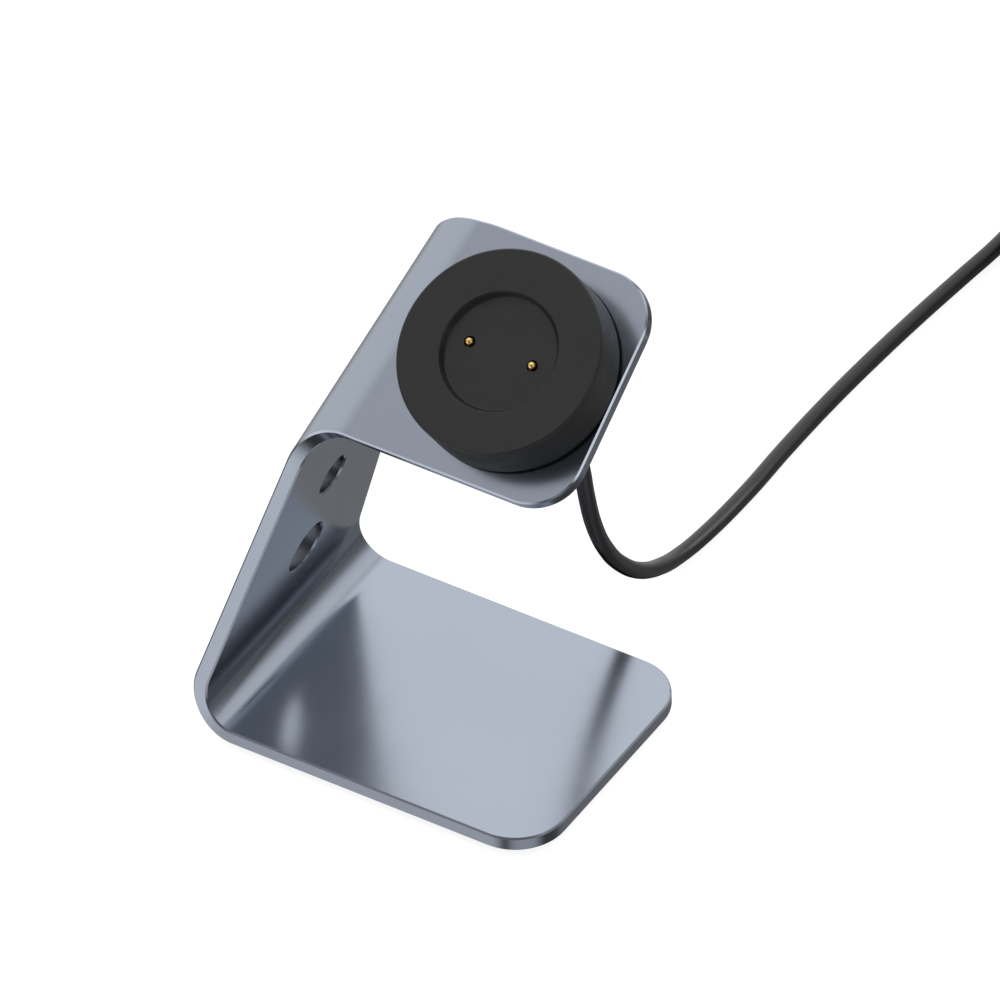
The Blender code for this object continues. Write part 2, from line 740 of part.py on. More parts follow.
# Contact pins: barrel on the board, sprung plunger through the recess floor
BARREL_LOW = BOARD_TOP + FIT
BARREL_TOP = RECESS_UNDER - FIT
LIP_LOW = BARREL_TOP - BARREL_LIP
FLANGE_TOP = LIP_LOW - FIT
FLANGE_LOW = FLANGE_TOP - PIN_FLANGE_THICK
BORE_R = PIN_FLANGE / 2 + FIT
BARREL_R = BORE_R + BARREL_WALL
BORE_LOW = BARREL_LOW + BARREL_WALL
PIN_TOP = RECESS_FLOOR + PIN_PROUD
PIN_R = PIN_DIAMETER / 2
SPRING_LOW = BORE_LOW + FIT + SPRING_WIRE / 2
SPRING_TOP = FLANGE_LOW - FIT - SPRING_WIRE / 2
for side, name in ((-1, "left"), (1, "right")):
    spot = (side * PIN_SPACING / 2, 0, 0)
    place(
        turned("pin_barrel_" + name, [
            (PIN_R + FIT, BARREL_TOP),
            (BARREL_R, BARREL_TOP),
            (BARREL_R, BARREL_LOW),
            (0, BARREL_LOW),
            (0, BORE_LOW),
            (BORE_R, BORE_LOW),
            (BORE_R, LIP_LOW),
            (PIN_R + FIT, LIP_LOW),
        ], closed=True, steps=24),
        material("barrel brass " + name, (0.70, 0.52, 0.22), 0.30, 1.0),
        parent=puck, location=spot,
    )
    # The plunger's origin is on the pin's axis, where the recess floor's plane cuts it.
    dome = [
        (PIN_R * math.sin(math.radians(a)), PIN_TOP - PIN_R + PIN_R * math.cos(math.radians(a)))
        for a in (0, 18, 36, 54, 72, 90)
    ]
    place(
        turned("pin_plunger_" + name, [
            (radius, height - RECESS_FLOOR) for radius, height in (
                *dome,
                (PIN_R, FLANGE_TOP),
                (PIN_FLANGE / 2, FLANGE_TOP),
                (PIN_FLANGE / 2, FLANGE_LOW),
                (0, FLANGE_LOW),
            )
        ], steps=20),
        material("pin gold " + name, (0.95, 0.70, 0.28), 0.22, 1.0),
        parent=puck, location=(spot[0], spot[1], RECESS_FLOOR),
    )
    helix = []
    count = SPRING_TURNS * 12
    for step in range(count + 1):
        angle = 2 * math.pi * step / 12
        height = SPRING_LOW + (SPRING_TOP - SPRING_LOW) * step / count
        helix.append((
            SPRING_DIAMETER / 2 * math.cos(angle),
            SPRING_DIAMETER / 2 * math.sin(angle),
            height,
        ))
    place(
        tube("pin_spring_" + name, helix, SPRING_WIRE),
        material("spring steel " + name, (0.55, 0.55, 0.57), 0.35, 1.0),
        parent=puck, location=spot,
    )

# Magnets under the rim
MAGNET_CIRCLE = (SKIRT_R + INNER_R) / 2
MAGNET_TOP = RIM_UNDER - FIT
for number, degrees in enumerate((45, 135, 225, 315), start=1):
    angle = math.radians(degrees)
    place(
        rod(f"magnet_{number}", MAGNET_DIAMETER, MAGNET_TOP - MAGNET_THICK, MAGNET_TOP, 24),
        material(f"magnet nickel {number}", (0.62, 0.61, 0.58), 0.25, 1.0),
        parent=puck,
        location=(MAGNET_CIRCLE * math.cos(angle), MAGNET_CIRCLE * math.sin(angle), 0),
    )

# Strain relief: a flange held between neck and cap, and a tapered sleeve outside
FLANGE_FLOOR = CAP_FLOOR_TOP + FIT
RELIEF_OUT = CAP_LOW - FIT
RELIEF_END = RELIEF_OUT - RELIEF_LENGTH
place(
    turned("strain_relief", [
        (0, FLANGE_FLOOR + RELIEF_FLANGE_THICK),
        (RELIEF_FLANGE / 2, FLANGE_FLOOR + RELIEF_FLANGE_THICK),
        (RELIEF_FLANGE / 2, FLANGE_FLOOR),
        (RELIEF_STEM / 2, FLANGE_FLOOR),
        (RELIEF_STEM / 2, RELIEF_OUT),
        (RELIEF_COLLAR / 2, RELIEF_OUT),
        (RELIEF_COLLAR / 2, RELIEF_OUT - 0.0012),
        (RELIEF_STEM / 2, RELIEF_OUT - 0.0018),
        (RELIEF_TIP / 2, RELIEF_END),
        (0, RELIEF_END),
    ], steps=24),
    material("relief rubber", (0.025, 0.025, 0.026), 0.60),
    parent=puck,
)

# Two leads from the strain relief to the board
LEAD_LOW = FLANGE_FLOOR + RELIEF_FLANGE_THICK + FIT
LEAD_TOP = BOARD_LOW - FIT
for side, name, colour in ((-1, "left", (0.35, 0.02, 0.02)), (1, "right", (0.02, 0.02, 0.02))):
    rise = LEAD_TOP - LEAD_LOW
    stops = [
        (side * 0.0009, 0, LEAD_LOW),
        (side * 0.0010, 0, LEAD_LOW + rise * 0.25),
        (side * LEAD_SPREAD * 0.8, 0, LEAD_LOW + rise * 0.75),
        (side * LEAD_SPREAD, 0, LEAD_TOP),
    ]
    place(
        tube("lead_" + name, evenly(smooth_path(stops), 0.0009), LEAD_DIAMETER),
        material("lead sleeve " + name, colour, 0.50),
        parent=puck,
    )

# Cable: straight out of the strain relief, down under its own weight, back
# across the surface to a round coil of the spare length, and on to the plug.
CABLE_R = CABLE_DIAMETER / 2
FLOOR = CABLE_R
tip = puck.matrix_world @ Vector((0, 0, RELIEF_END - FIT))
outward = (puck.matrix_world.to_3x3() @ Vector((0, 0, -1))).normalized()
RUN_STOPS = [
    tip,
    tip + outward * 0.004,
    (0.0132, 0.0205, 0.0558),
    (0.0146, 0.0215, 0.0503),
    (0.0154, 0.0219, 0.0451),
    (0.0156, 0.0227, 0.0391),
    (0.0156, 0.0250, 0.0301),
    (0.0156, 0.0287, 0.0218),
    (0.0156, 0.0333, 0.0150),
    (0.0157, 0.0396, 0.0087),
    (0.0157, 0.0461, 0.0048),
    (0.0156, 0.0524, 0.0023),
    (0.0160, 0.0594, FLOOR),
    (0.0165, 0.0724, FLOOR),
    (0.0163, 0.0864, FLOOR),
    (0.0165, 0.1005, FLOOR),
    (0.0172, 0.1144, FLOOR),
    (0.0182, 0.1274, FLOOR),
    (0.0196, 0.1400, FLOOR),
    (0.0209, 0.1500, FLOOR + 0.0005),
    (0.0214, 0.1580, FLOOR + 0.0011),
    (0.0214, 0.1660, FLOOR + 0.0014),
]
TIE_IN = COIL_SECTION / 2 + FIT + TIE_WIDTH ** 2 / 4 / COIL_MEAN
TIE_OUT = TIE_IN + TIE_THICK

# The coil rests on its tie at the back and on the surface at the front, so it
# tilts a little. An empty at its centre has its Z along the coil's axis.
COIL_TILT = math.asin((TIE_OUT - COIL_SECTION / 2) / COIL_MEAN)
COIL_AT = Vector((0.0409, 0.1660, (TIE_OUT + COIL_SECTION / 2) / 2 + REST))
coil = empty("coil_axis", Matrix.Translation(COIL_AT) @ Matrix.Rotation(COIL_TILT, 4, "X"))
bpy.context.view_layer.update()


def room_at_coil(point):
    """Distance from a point to the surface of the coil."""
    local = coil.matrix_world.inverted() @ point
    flat = math.hypot(local.x, local.y) - COIL_MEAN / 2
    return math.hypot(flat, local.z) - COIL_SECTION / 2


def up_to_coil(dense):
    """The stretch of a path before it meets the coil."""
    kept = []
    for point in dense:
        if room_at_coil(point) < CABLE_R + FIT:
            break
        kept.append(point)
    return kept


cable_black = (0.022, 0.022, 0.023)
place(
    tube("cable_run", evenly(up_to_coil(smooth_path(RUN_STOPS)), 0.0065), CABLE_DIAMETER),
    material("cable jacket", cable_black, 0.42),
)
place(
    turned("cable_coil", [
        (COIL_MEAN / 2 + x, z) for x, z in arc((0, 0), COIL_SECTION / 2, math.pi, -math.pi * 15 / 8, 15)
    ], closed=True, steps=40),
    material("coil jacket", cable_black, 0.42),
    parent=coil,
)
place(
    turned("cable_tie", [
        (TIE_IN, TIE_WIDTH / 2), (TIE_OUT, TIE_WIDTH / 2),
        (TIE_OUT, -TIE_WIDTH / 2), (TIE_IN, -TIE_WIDTH / 2),
    ], closed=True, steps=32),
    material("tie strap", (0.05, 0.05, 0.052), 0.75),
    parent=coil,
    location=(0, COIL_MEAN / 2, 0),
    rotation=(0, math.pi / 2, 0),
)

# USB plug, on its own axis: +X runs from the cable to the mouth
PLUG_AT = Vector((0.0643, 0.1380, PLUG_HEIGHT / 2 + REST))
PLUG_HEADING = math.radians(-80)
plug = empty("plug_axis", Matrix.Translation(PLUG_AT) @ Matrix.Rotation(PLUG_HEADING, 4, "Z"))
bpy.context.view_layer.update()
ahead = (plug.matrix_world.to_3x3() @ Vector((1, 0, 0))).normalized()
TAIL_STOPS = [
    PLUG_AT - ahead * FIT,
    PLUG_AT - ahead * 0.004,
    (0.0624, 0.1472, 0.0036),
    (0.0612, 0.1540, 0.0032),
    (0.0605, 0.1600, 0.0030),
    (0.0604, 0.1660, 0.0029),
]
place(
    tube("cable_tail", evenly(up_to_coil(smooth_path(TAIL_STOPS)), 0.0040), CABLE_DIAMETER),
    material("tail jacket", cable_black, 0.42),
)
ALONG_PLUG = (0, math.pi / 2, 0)
BODY_BACK = PLUG_RELIEF + FIT
BODY_FRONT = BODY_BACK + PLUG_LENGTH
SHELL_FRONT = BODY_FRONT + SHELL_OUT
SHELL_BACK = BODY_FRONT - SHELL_IN
place(
    turned("plug_relief", [
        (0, PLUG_RELIEF),
        (CABLE_R + 0.0014, PLUG_RELIEF),
        (CABLE_R + 0.0006, 0),
        (0, 0),
    ], steps=20),
    material("plug relief rubber", (0.025, 0.025, 0.026), 0.60),
    parent=plug, rotation=ALONG_PLUG,
)
overmould = place(
    box("plug_overmould", (PLUG_LENGTH, PLUG_WIDTH, PLUG_HEIGHT), ((BODY_BACK + BODY_FRONT) / 2, 0, 0)),
    material("plug overmould", (0.030, 0.030, 0.031), 0.55),
    parent=plug,
)
soften = overmould.modifiers.new("Rounded edges", "BEVEL")
soften.width = PLUG_ROUND
soften.segments = 3
soften.limit_method = "ANGLE"
pocket = cutter(
    box(
        "plug_pocket_tool",
        (SHELL_IN + FIT + 0.002, SHELL_WIDTH + 2 * FIT, SHELL_HEIGHT + 2 * FIT),
        (SHELL_BACK - FIT + (SHELL_IN + FIT + 0.002) / 2, 0, 0),
    ),
    parent=plug,
)
cut(overmould, pocket, "Shell pocket")
shell = place(
    box("plug_shell", (SHELL_FRONT - SHELL_BACK, SHELL_WIDTH, SHELL_HEIGHT), ((SHELL_FRONT + SHELL_BACK) / 2, 0, 0)),
    material("plug shell steel", (0.66, 0.66, 0.67), 0.25, 1.0),
    parent=plug,
)
bore = cutter(
    box(
        "plug_bore_tool",
        (SHELL_FRONT - SHELL_BACK + 0.002, SHELL_WIDTH - 2 * SHELL_WALL, SHELL_HEIGHT - 2 * SHELL_WALL),
        ((SHELL_FRONT + SHELL_BACK) / 2, 0, 0),
    ),
    parent=plug,
)
cut(shell, bore, "Open mouth")
for side, name in ((-1, "left"), (1, "right")):
    window = cutter(
        box(
            "plug_window_tool_" + name, (WINDOW, WINDOW, SHELL_HEIGHT + 0.002),
            (SHELL_FRONT - WINDOW_BACK, side * WINDOW_PITCH / 2, 0),
        ),
        parent=plug,
    )
    cut(shell, window, "Latch window " + name)
MOUTH_HALF = SHELL_HEIGHT / 2 - SHELL_WALL
TONGUE_TOP = MOUTH_HALF - FIT
TONGUE_LOW = TONGUE_TOP - TONGUE_THICK
TONGUE_BACK = SHELL_BACK
TONGUE_FRONT = SHELL_FRONT - TONGUE_SHORT
place(
    box(
        "plug_tongue", (TONGUE_FRONT - TONGUE_BACK, TONGUE_WIDTH, TONGUE_THICK),
        ((TONGUE_FRONT + TONGUE_BACK) / 2, 0, (TONGUE_TOP + TONGUE_LOW) / 2),
    ),
    material("tongue plastic", (0.85, 0.85, 0.83), 0.50),
    parent=plug,
)
for number in range(4):
    across = (number - 1.5) * CONTACT_PITCH
    length = 0.0070
    place(
        box(
            f"plug_contact_{number + 1}", (length, CONTACT_WIDTH, CONTACT_THICK),
            (TONGUE_FRONT - 0.0010 - length / 2, across, TONGUE_LOW - FIT - CONTACT_THICK / 2),
        ),
        material(f"contact gold {number + 1}", (0.95, 0.70, 0.28), 0.25, 1.0),
        parent=plug,
    )
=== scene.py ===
# %% [markdown]
# # A charging dock for a smartwatch
# The dock is one sheet of aluminium, folded twice: a base, a leaning side
# wall and a top plate pitched toward the user. A round plastic puck sits on
# the top plate, with two gold contact pins in a shallow recess. Its cable
# hangs from the middle of the puck's underside and runs off behind the dock.
#
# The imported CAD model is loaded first. It stays fixed, and every piece that
# this file makes lies in the same place as the CAD node it stands for.

# %% Load the CAD model
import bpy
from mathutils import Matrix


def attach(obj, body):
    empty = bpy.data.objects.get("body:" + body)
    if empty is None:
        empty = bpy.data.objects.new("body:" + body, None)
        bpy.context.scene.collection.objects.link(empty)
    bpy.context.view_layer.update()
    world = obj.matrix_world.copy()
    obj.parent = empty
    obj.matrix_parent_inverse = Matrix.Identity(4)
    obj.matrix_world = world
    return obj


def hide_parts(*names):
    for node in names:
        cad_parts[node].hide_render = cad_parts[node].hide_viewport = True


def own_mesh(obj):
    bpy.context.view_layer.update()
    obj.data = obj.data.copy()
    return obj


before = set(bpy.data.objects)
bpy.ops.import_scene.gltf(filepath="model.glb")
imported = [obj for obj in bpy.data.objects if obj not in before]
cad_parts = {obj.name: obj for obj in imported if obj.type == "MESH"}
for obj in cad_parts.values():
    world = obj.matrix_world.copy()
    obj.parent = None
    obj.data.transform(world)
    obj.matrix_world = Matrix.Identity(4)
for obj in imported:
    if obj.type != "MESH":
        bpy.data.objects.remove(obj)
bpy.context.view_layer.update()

import math

import bmesh
import bpy
from mathutils import Matrix, Vector

# %% [markdown]
# ## The camera
# The photograph looks down from the front right through a very long lens, so
# parallel edges stay almost parallel. A camera seven metres away with a
# 1500 mm lens gives the same look. It looks past the middle of the stand,
# because the cable takes up the right of the picture. The camera is turned a
# little about its own view line as well: the photograph leans by a degree
# and a half.

# %% Camera
AZIMUTH, ELEVATION, ROLL = (math.radians(angle) for angle in (32.656, 41.494, 1.619))
LENS = 1500.0
SENSOR = 36.0
VIEW_WIDTH = 0.170940
DISTANCE = VIEW_WIDTH * LENS / SENSOR
STAND_MIDDLE = Vector((-0.0042350, -0.0020031, 0.0464))
AIM_RIGHT, AIM_UP = 0.015219, 0.0010687

toward_camera = Vector((
    math.sin(AZIMUTH) * math.cos(ELEVATION),
    -math.cos(AZIMUTH) * math.cos(ELEVATION),
    math.sin(ELEVATION),
))
level = Vector((math.cos(AZIMUTH), math.sin(AZIMUTH), 0))
upright = toward_camera.cross(level)
picture_right = level * math.cos(ROLL) - upright * math.sin(ROLL)
picture_up = level * math.sin(ROLL) + upright * math.cos(ROLL)
aim = STAND_MIDDLE + picture_right * AIM_RIGHT + picture_up * AIM_UP

camera = bpy.data.objects.new("camera", bpy.data.cameras.new("camera"))
bpy.context.scene.collection.objects.link(camera)
camera.data.lens = LENS
camera.data.sensor_width = SENSOR
camera.data.clip_start = 1.0
camera.data.clip_end = 30.0
turn = Matrix((picture_right, picture_up, toward_camera)).transposed().to_4x4()
camera.matrix_world = Matrix.Translation(aim + toward_camera * DISTANCE) @ turn
bpy.context.scene.camera = camera
print("camera at", [round(value, 3) for value in camera.location])

# %% [markdown]
# ## Finishes
# Each finish is a Principled shader with a little life in it. A soft, large
# noise shifts the colour by a few per cent, a smaller one changes the gloss,
# and a fine one gives the surface its grain through a Bump node. All of them
# read Object coordinates, and every piece sits at the origin, so a pattern
# has the same scale everywhere: it is written here in millimetres.

# %% Helpers for nodes
MM = 0.001
NOISE_SPAN = (0.15, 0.85)  # nearly all of a noise lies between these


def link(tree, source, target):
    tree.links.new(source, target)


def noise(tree, size_mm, detail, stretch=None):
    """A noise whose blotches are about size_mm across."""
    where = tree.nodes.new("ShaderNodeTexCoord").outputs["Object"]
    if stretch:
        mapping = tree.nodes.new("ShaderNodeMapping")
        mapping.inputs["Scale"].default_value = stretch
        link(tree, where, mapping.inputs["Vector"])
        where = mapping.outputs["Vector"]
    node = tree.nodes.new("ShaderNodeTexNoise")
    node.inputs["Scale"].default_value = 1 / (size_mm * MM)
    node.inputs["Detail"].default_value = detail
    link(tree, where, node.inputs["Vector"])
    return node.outputs["Fac"]


def mapped(tree, value, span, result, easing="LINEAR"):
    """Maps one range to another. An easing leaves both ends without a hard rim."""
    node = tree.nodes.new("ShaderNodeMapRange")
    node.interpolation_type = easing
    for socket, number in zip(("From Min", "From Max", "To Min", "To Max"), (*span, *result)):
        node.inputs[socket].default_value = number
    link(tree, value, node.inputs["Value"])
    return node.outputs["Result"]


def tinted(tree, value, colour, amount):
    """A colour that a noise darkens and lightens by a small amount."""
    ramp = tree.nodes.new("ShaderNodeValToRGB")
    ramp.color_ramp.interpolation = "EASE"
    stops = zip(ramp.color_ramp.elements, NOISE_SPAN, (1 - amount, 1 + amount))
    for stop, position, share in stops:
        stop.position = position
        stop.color = (*[channel * share for channel in colour], 1)
    link(tree, value, ramp.inputs["Fac"])
    return ramp.outputs["Color"]


# %% A helper for finishes
def finish(name, colour, rough, clouds_mm, grain_mm, grain_depth, metal=0.0, tint=0.05,
           gloss=0.03, stretch=None, **sockets):
    """A Principled material with clouds in its colour, patches in its gloss and a fine grain."""
    made = bpy.data.materials.new(name)
    made.use_nodes = True
    tree = made.node_tree
    shader = tree.nodes["Principled BSDF"]
    shader.inputs["Metallic"].default_value = metal
    for socket, value in sockets.items():
        shader.inputs[socket.replace("_", " ")].default_value = value
    clouds = noise(tree, clouds_mm, 2.0)
    link(tree, tinted(tree, clouds, colour, tint), shader.inputs["Base Color"])
    patches = noise(tree, clouds_mm / 4, 3.0, stretch)
    roughness = mapped(tree, patches, NOISE_SPAN, (rough - gloss, rough + gloss), "SMOOTHERSTEP")
    link(tree, roughness, shader.inputs["Roughness"])
    bump = tree.nodes.new("ShaderNodeBump")
    bump.inputs["Strength"].default_value = 1.0
    bump.inputs["Distance"].default_value = grain_depth * MM
    link(tree, noise(tree, grain_mm, 2.0, stretch), bump.inputs["Height"])
    link(tree, bump.outputs["Normal"], shader.inputs["Normal"])
    return made


def grain_bump(made):
    """The Bump node of a finish, for what is added to its grain later on."""
    return next(node for node in made.node_tree.nodes if node.type == "BUMP")


# %% [markdown]
# ## Making and placing a piece
# Most pieces are turned on a lathe or moulded round, so one helper spins a
# profile about Z. Others round edges, cut with Booleans, or start from a CAD
# node's own shape. The last one makes the piece and lets it ride on its CAD
# body. The puck sits at a slant, and a matrix carries its pieces from the
# upright, where they are easy to draw, to the top plate.

# %% Helpers for shapes
def scene_object(name, mesh):
    made = bpy.data.objects.new(name, mesh)
    bpy.context.scene.collection.objects.link(made)
    return made


def finished_mesh(made):
    """An object's mesh with its modifiers applied. The object itself is cleared away."""
    graph = bpy.context.evaluated_depsgraph_get()
    mesh = bpy.data.meshes.new_from_object(made.evaluated_get(graph))
    bpy.data.objects.remove(made, do_unlink=True)
    return mesh


def turned(profile, steps):
    """Spins a profile of (radius, height) points, in metres, round Z."""
    bm = bmesh.new()
    points = [bm.verts.new((radius, 0, height)) for radius, height in profile]
    edges = [bm.edges.new(pair) for pair in zip(points, points[1:])]
    bmesh.ops.spin(
        bm, geom=points + edges, axis=(0, 0, 1), cent=(0, 0, 0),
        steps=steps, angle=2 * math.pi, use_merge=True,
    )
    bmesh.ops.remove_doubles(bm, verts=bm.verts, dist=1e-7)
    bmesh.ops.recalc_face_normals(bm, faces=bm.faces)
    return bm


def bevelled(bm, edges, width, segments):
    bmesh.ops.bevel(
        bm, geom=edges, offset=width, offset_type="OFFSET", segments=segments,
        profile=0.5, affect="EDGES", material=-1, clamp_overlap=True,
    )
    return bm


def softened(bm, width, segments, over=30.0):
    """Rounds every edge that is sharper than an angle in degrees."""
    sharp = [
        edge for edge in bm.edges
        if edge.is_manifold and edge.calc_face_angle(0) > math.radians(over)
    ]
    return bevelled(bm, sharp, width, segments)


def carved(bm, tools, name):
    """Cuts closed bmeshes from another with exact Booleans."""
    body = scene_object(name, bpy.data.meshes.new(name))
    bm.to_mesh(body.data)
    helpers = []
    for tool in tools:
        helper = scene_object(name + "_tool", bpy.data.meshes.new(name + "_tool"))
        tool.to_mesh(helper.data)
        tool.free()
        step = body.modifiers.new("cut", "BOOLEAN")
        step.operation, step.solver, step.object = "DIFFERENCE", "EXACT", helper
        helpers.append(helper)
    bm.clear()
    bm.from_mesh(finished_mesh(body))
    for helper in helpers:
        bpy.data.objects.remove(helper, do_unlink=True)
    return bm


# %% Helpers for pieces
def piece(name, bm, look, stands_for, place=None, body="dock", sharp=32.0):
    """Makes the object, gives it its finish and lets it ride on its CAD body."""
    if place is not None:
        bmesh.ops.transform(bm, matrix=place, verts=bm.verts)
    mesh = bpy.data.meshes.new(name)
    bm.to_mesh(mesh)
    bm.free()
    mesh.shade_smooth()
    mesh.set_sharp_from_angle(angle=math.radians(sharp))
    made = scene_object(name, mesh)
    for each in look if isinstance(look, list) else [look]:
        mesh.materials.append(each)
    even = made.modifiers.new("Even shading", "WEIGHTED_NORMAL")
    even.keep_sharp = True
    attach(made, body)
    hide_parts(*stands_for)
    return made


def merged_copy(node):
    """A CAD node's own shape as one connected mesh, with its flat faces whole again."""
    bm = bmesh.new()
    bm.from_mesh(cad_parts[node].data)
    bmesh.ops.remove_doubles(bm, verts=bm.verts, dist=1e-6)
    bmesh.ops.dissolve_limit(
        bm, angle_limit=math.radians(0.3), verts=bm.verts, edges=bm.edges,
    )
    return bm


# %% [markdown]
# ## Where things are
# The puck's own frame has its origin on the top plate's upper face and its Z
# square to the plate. The coil of spare cable leans a little, because it
# rests on its tie at the back and on the surface at the front.

# %% Places
PUCK_AT, PITCH = Vector((0.012269, 0.007304, 0.077720)), math.radians(34.6)
on_plate = Matrix.Translation(PUCK_AT) @ Matrix.Rotation(PITCH, 4, "X")
plate_out = on_plate.to_3x3() @ Vector((0, 0, 1))
COIL_AT, COIL_RADIUS, TIE_LIFT = Vector((0.0409, 0.1660, 0.005475)), 0.0180, 0.00135
COIL_TILT = math.asin(TIE_LIFT / (2 * COIL_RADIUS))
on_coil = Matrix.Translation(COIL_AT) @ Matrix.Rotation(COIL_TILT, 4, "X")
PLUG_AT, PLUG_TURN = Vector((0.0643, 0.1380, 0.0039)), math.radians(-80)
on_plug = Matrix.Translation(PLUG_AT) @ Matrix.Rotation(PLUG_TURN, 4, "Z")
plug_ahead = on_plug.to_3x3() @ Vector((1, 0, 0))
print(f"the coil leans by {math.degrees(COIL_TILT):.1f} degrees")

# %% [markdown]
# ## The cable
# The cable is 3 mm thick and about a metre long with its plug, as chargers
# of this kind have. It leaves the strain relief straight, bends down under
# its own weight, touches the surface behind the dock and runs back over it.
# What the photograph doesn't show is wound into a coil of six and a half
# turns. A section through the coil is a hexagon of strands round a middle
# one. The bundle twists by a third of a turn each time round, so a strand
# comes back two places further on, and on its fourth turn it is the middle
# one. In this way one line visits all seven places and never crosses itself.

# %% Route of the cable
# The first and the last three points lie in line with the two sleeves that
# hold the cable, partly inside them.
CABLE, RELIEF_TIP = 0.0030, -0.0148
LYING = CABLE / 2
relief_tip = on_plate @ Vector((0, 0, RELIEF_TIP))
cable_start = [relief_tip - plate_out * past for past in (-0.0020, 0.0003, 0.0043)]
cable_hang = [
    (0.0132, 0.0205, 0.0558), (0.0146, 0.0215, 0.0503), (0.0154, 0.0219, 0.0451),
    (0.0156, 0.0227, 0.0391), (0.0156, 0.0250, 0.0301), (0.0156, 0.0287, 0.0218),
    (0.0156, 0.0333, 0.0150), (0.0157, 0.0396, 0.0087), (0.0157, 0.0461, 0.0048),
    (0.0156, 0.0524, 0.0025),
]
cable_back = [
    (0.0160, 0.0594, LYING + 0.0002), (0.0165, 0.0724, LYING + 0.00005),
    (0.0163, 0.0864, LYING), (0.0165, 0.1005, LYING), (0.0172, 0.1144, LYING),
    (0.0182, 0.1274, LYING), (0.0196, 0.1400, LYING + 0.0002),
    (0.0209, 0.1500, LYING + 0.0006), (0.0214, 0.1580, LYING + 0.0011),
]
cable_tail = [
    (0.0605, 0.1600, 0.0030), (0.0612, 0.1540, 0.0032), (0.0624, 0.1472, 0.0036),
    *[PLUG_AT + plug_ahead * past for past in (-0.0040, -0.0003, 0.0030)],
]

# %% The coil's strands
STRAND_APART, STEPS_ROUND, TURNS = 0.00305, 16, 6.5
PLACES = [0, 2, 4, None, 1, 3, 5]  # where the strand starts each turn; None is the middle
NEXT_PLACE, TWIST = 60, 120  # degrees between two places, and degrees that a turn adds


def soft_step(fraction):
    """Rises from 0 to 1, and is level at both ends."""
    return 0.5 - 0.5 * math.cos(math.pi * min(max(fraction, 0), 1))


def coil_point(number):
    """Where the cable is after that many steps round the coil."""
    turns, step = divmod(number, STEPS_ROUND)
    part = step / STEPS_ROUND
    place, out = PLACES[turns], STRAND_APART
    if turns == 2:  # the last quarter of this turn leads to the middle
        out *= 1 - soft_step((part - 0.75) * 4)
    if place is None:  # and the third quarter of the next one leads out again
        place, out = 5, STRAND_APART * soft_step((part - 0.5) * 4)
    around = math.radians(NEXT_PLACE * (place - 1) + TWIST * part)
    radius = COIL_RADIUS + out * math.cos(around)
    angle = math.pi - 2 * math.pi * part
    return on_coil @ Vector((
        radius * math.cos(angle), radius * math.sin(angle), out * math.sin(around),
    ))


cable_coil = [coil_point(number) for number in range(int(TURNS * STEPS_ROUND) + 1)]
stretches = (cable_start, cable_hang, cable_back, cable_coil, cable_tail)
route = [Vector(point) for stretch in stretches for point in stretch]
walked = sum((b - a).length for a, b in zip(route, route[1:]))
print(f"cable route: {len(route)} points, {walked:.3f} m")

# %% [markdown]
# The jacket is a soft black plastic with a dull shine. A curve with a round
# bevel makes the tube, and automatic handles run it smoothly through all the
# points of the route.

# %% Cable
jacket = finish(
    "cable_jacket", (0.0125, 0.0125, 0.013), 0.33, clouds_mm=30, tint=0.10, gloss=0.05,
    grain_mm=0.35, grain_depth=0.006, Specular_IOR_Level=0.55,
)
line = bpy.data.curves.new("cable", "CURVE")
line.dimensions = "3D"
line.bevel_depth = CABLE / 2
line.bevel_resolution = 6
line.resolution_u = 8
line.use_fill_caps = True
thread = line.splines.new("BEZIER")
thread.bezier_points.add(len(route) - 1)
for knot, point in zip(thread.bezier_points, route):
    knot.co = point
    knot.handle_left_type = knot.handle_right_type = "AUTO"
line.materials.append(jacket)
cable = scene_object("cable", line)
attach(cable, "dock")
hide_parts("cable_run", "cable_coil", "cable_tail")
print(f"cable: {2 * line.bevel_depth * 1000:.1f} mm thick, {TURNS} turns in its coil")

# %% [markdown]
# ## The folded sheet
# A maker cuts the flat outline first and then folds it, and so do these
# cells. The blank lies flat, narrow strips are cut along both folds, and each
# point is carried to its place. The second fold runs at a slant over the
# sheet, and this turns a side wall into a plate that faces the user.
# A Solidify modifier gives the sheet its 2.8 mm, and a Bevel modifier the
# fine chamfer round the whole outline, which has a finish of its own: there
# the cutter has left the metal brighter.

# %% The sheet's sizes
SHEET, CHAMFER = 0.0028, 0.0003
BASE_LENGTH, BASE_DEPTH, BASE_CORNER = 0.0687, 0.0518, 0.0095
FOLD_1, FOLD_2 = 0.0060, 0.0077
WALL_LEAN, WALL_RISE, TOP_SETBACK = math.radians(14.65), 0.0613, 0.0182
TOP_LENGTH, TOP_DEPTH, TOP_CORNER, BACK_CORNER = 0.0492, 0.0435, 0.0093, 0.0040
STRIPS = 32
STAND_AT = Vector((-0.0338350, -0.0270032, 0.0011))

up_wall = Vector((math.sin(WALL_LEAN), 0, math.cos(WALL_LEAN)))
wall_in = Vector((math.cos(WALL_LEAN), 0, -math.sin(WALL_LEAN)))
up_slope = Vector((0, math.cos(PITCH), math.sin(PITCH)))
top_out = Vector((0, -math.sin(PITCH), math.cos(PITCH)))
right = Vector((1, 0, 0))
back = Vector((0, 1, 0))

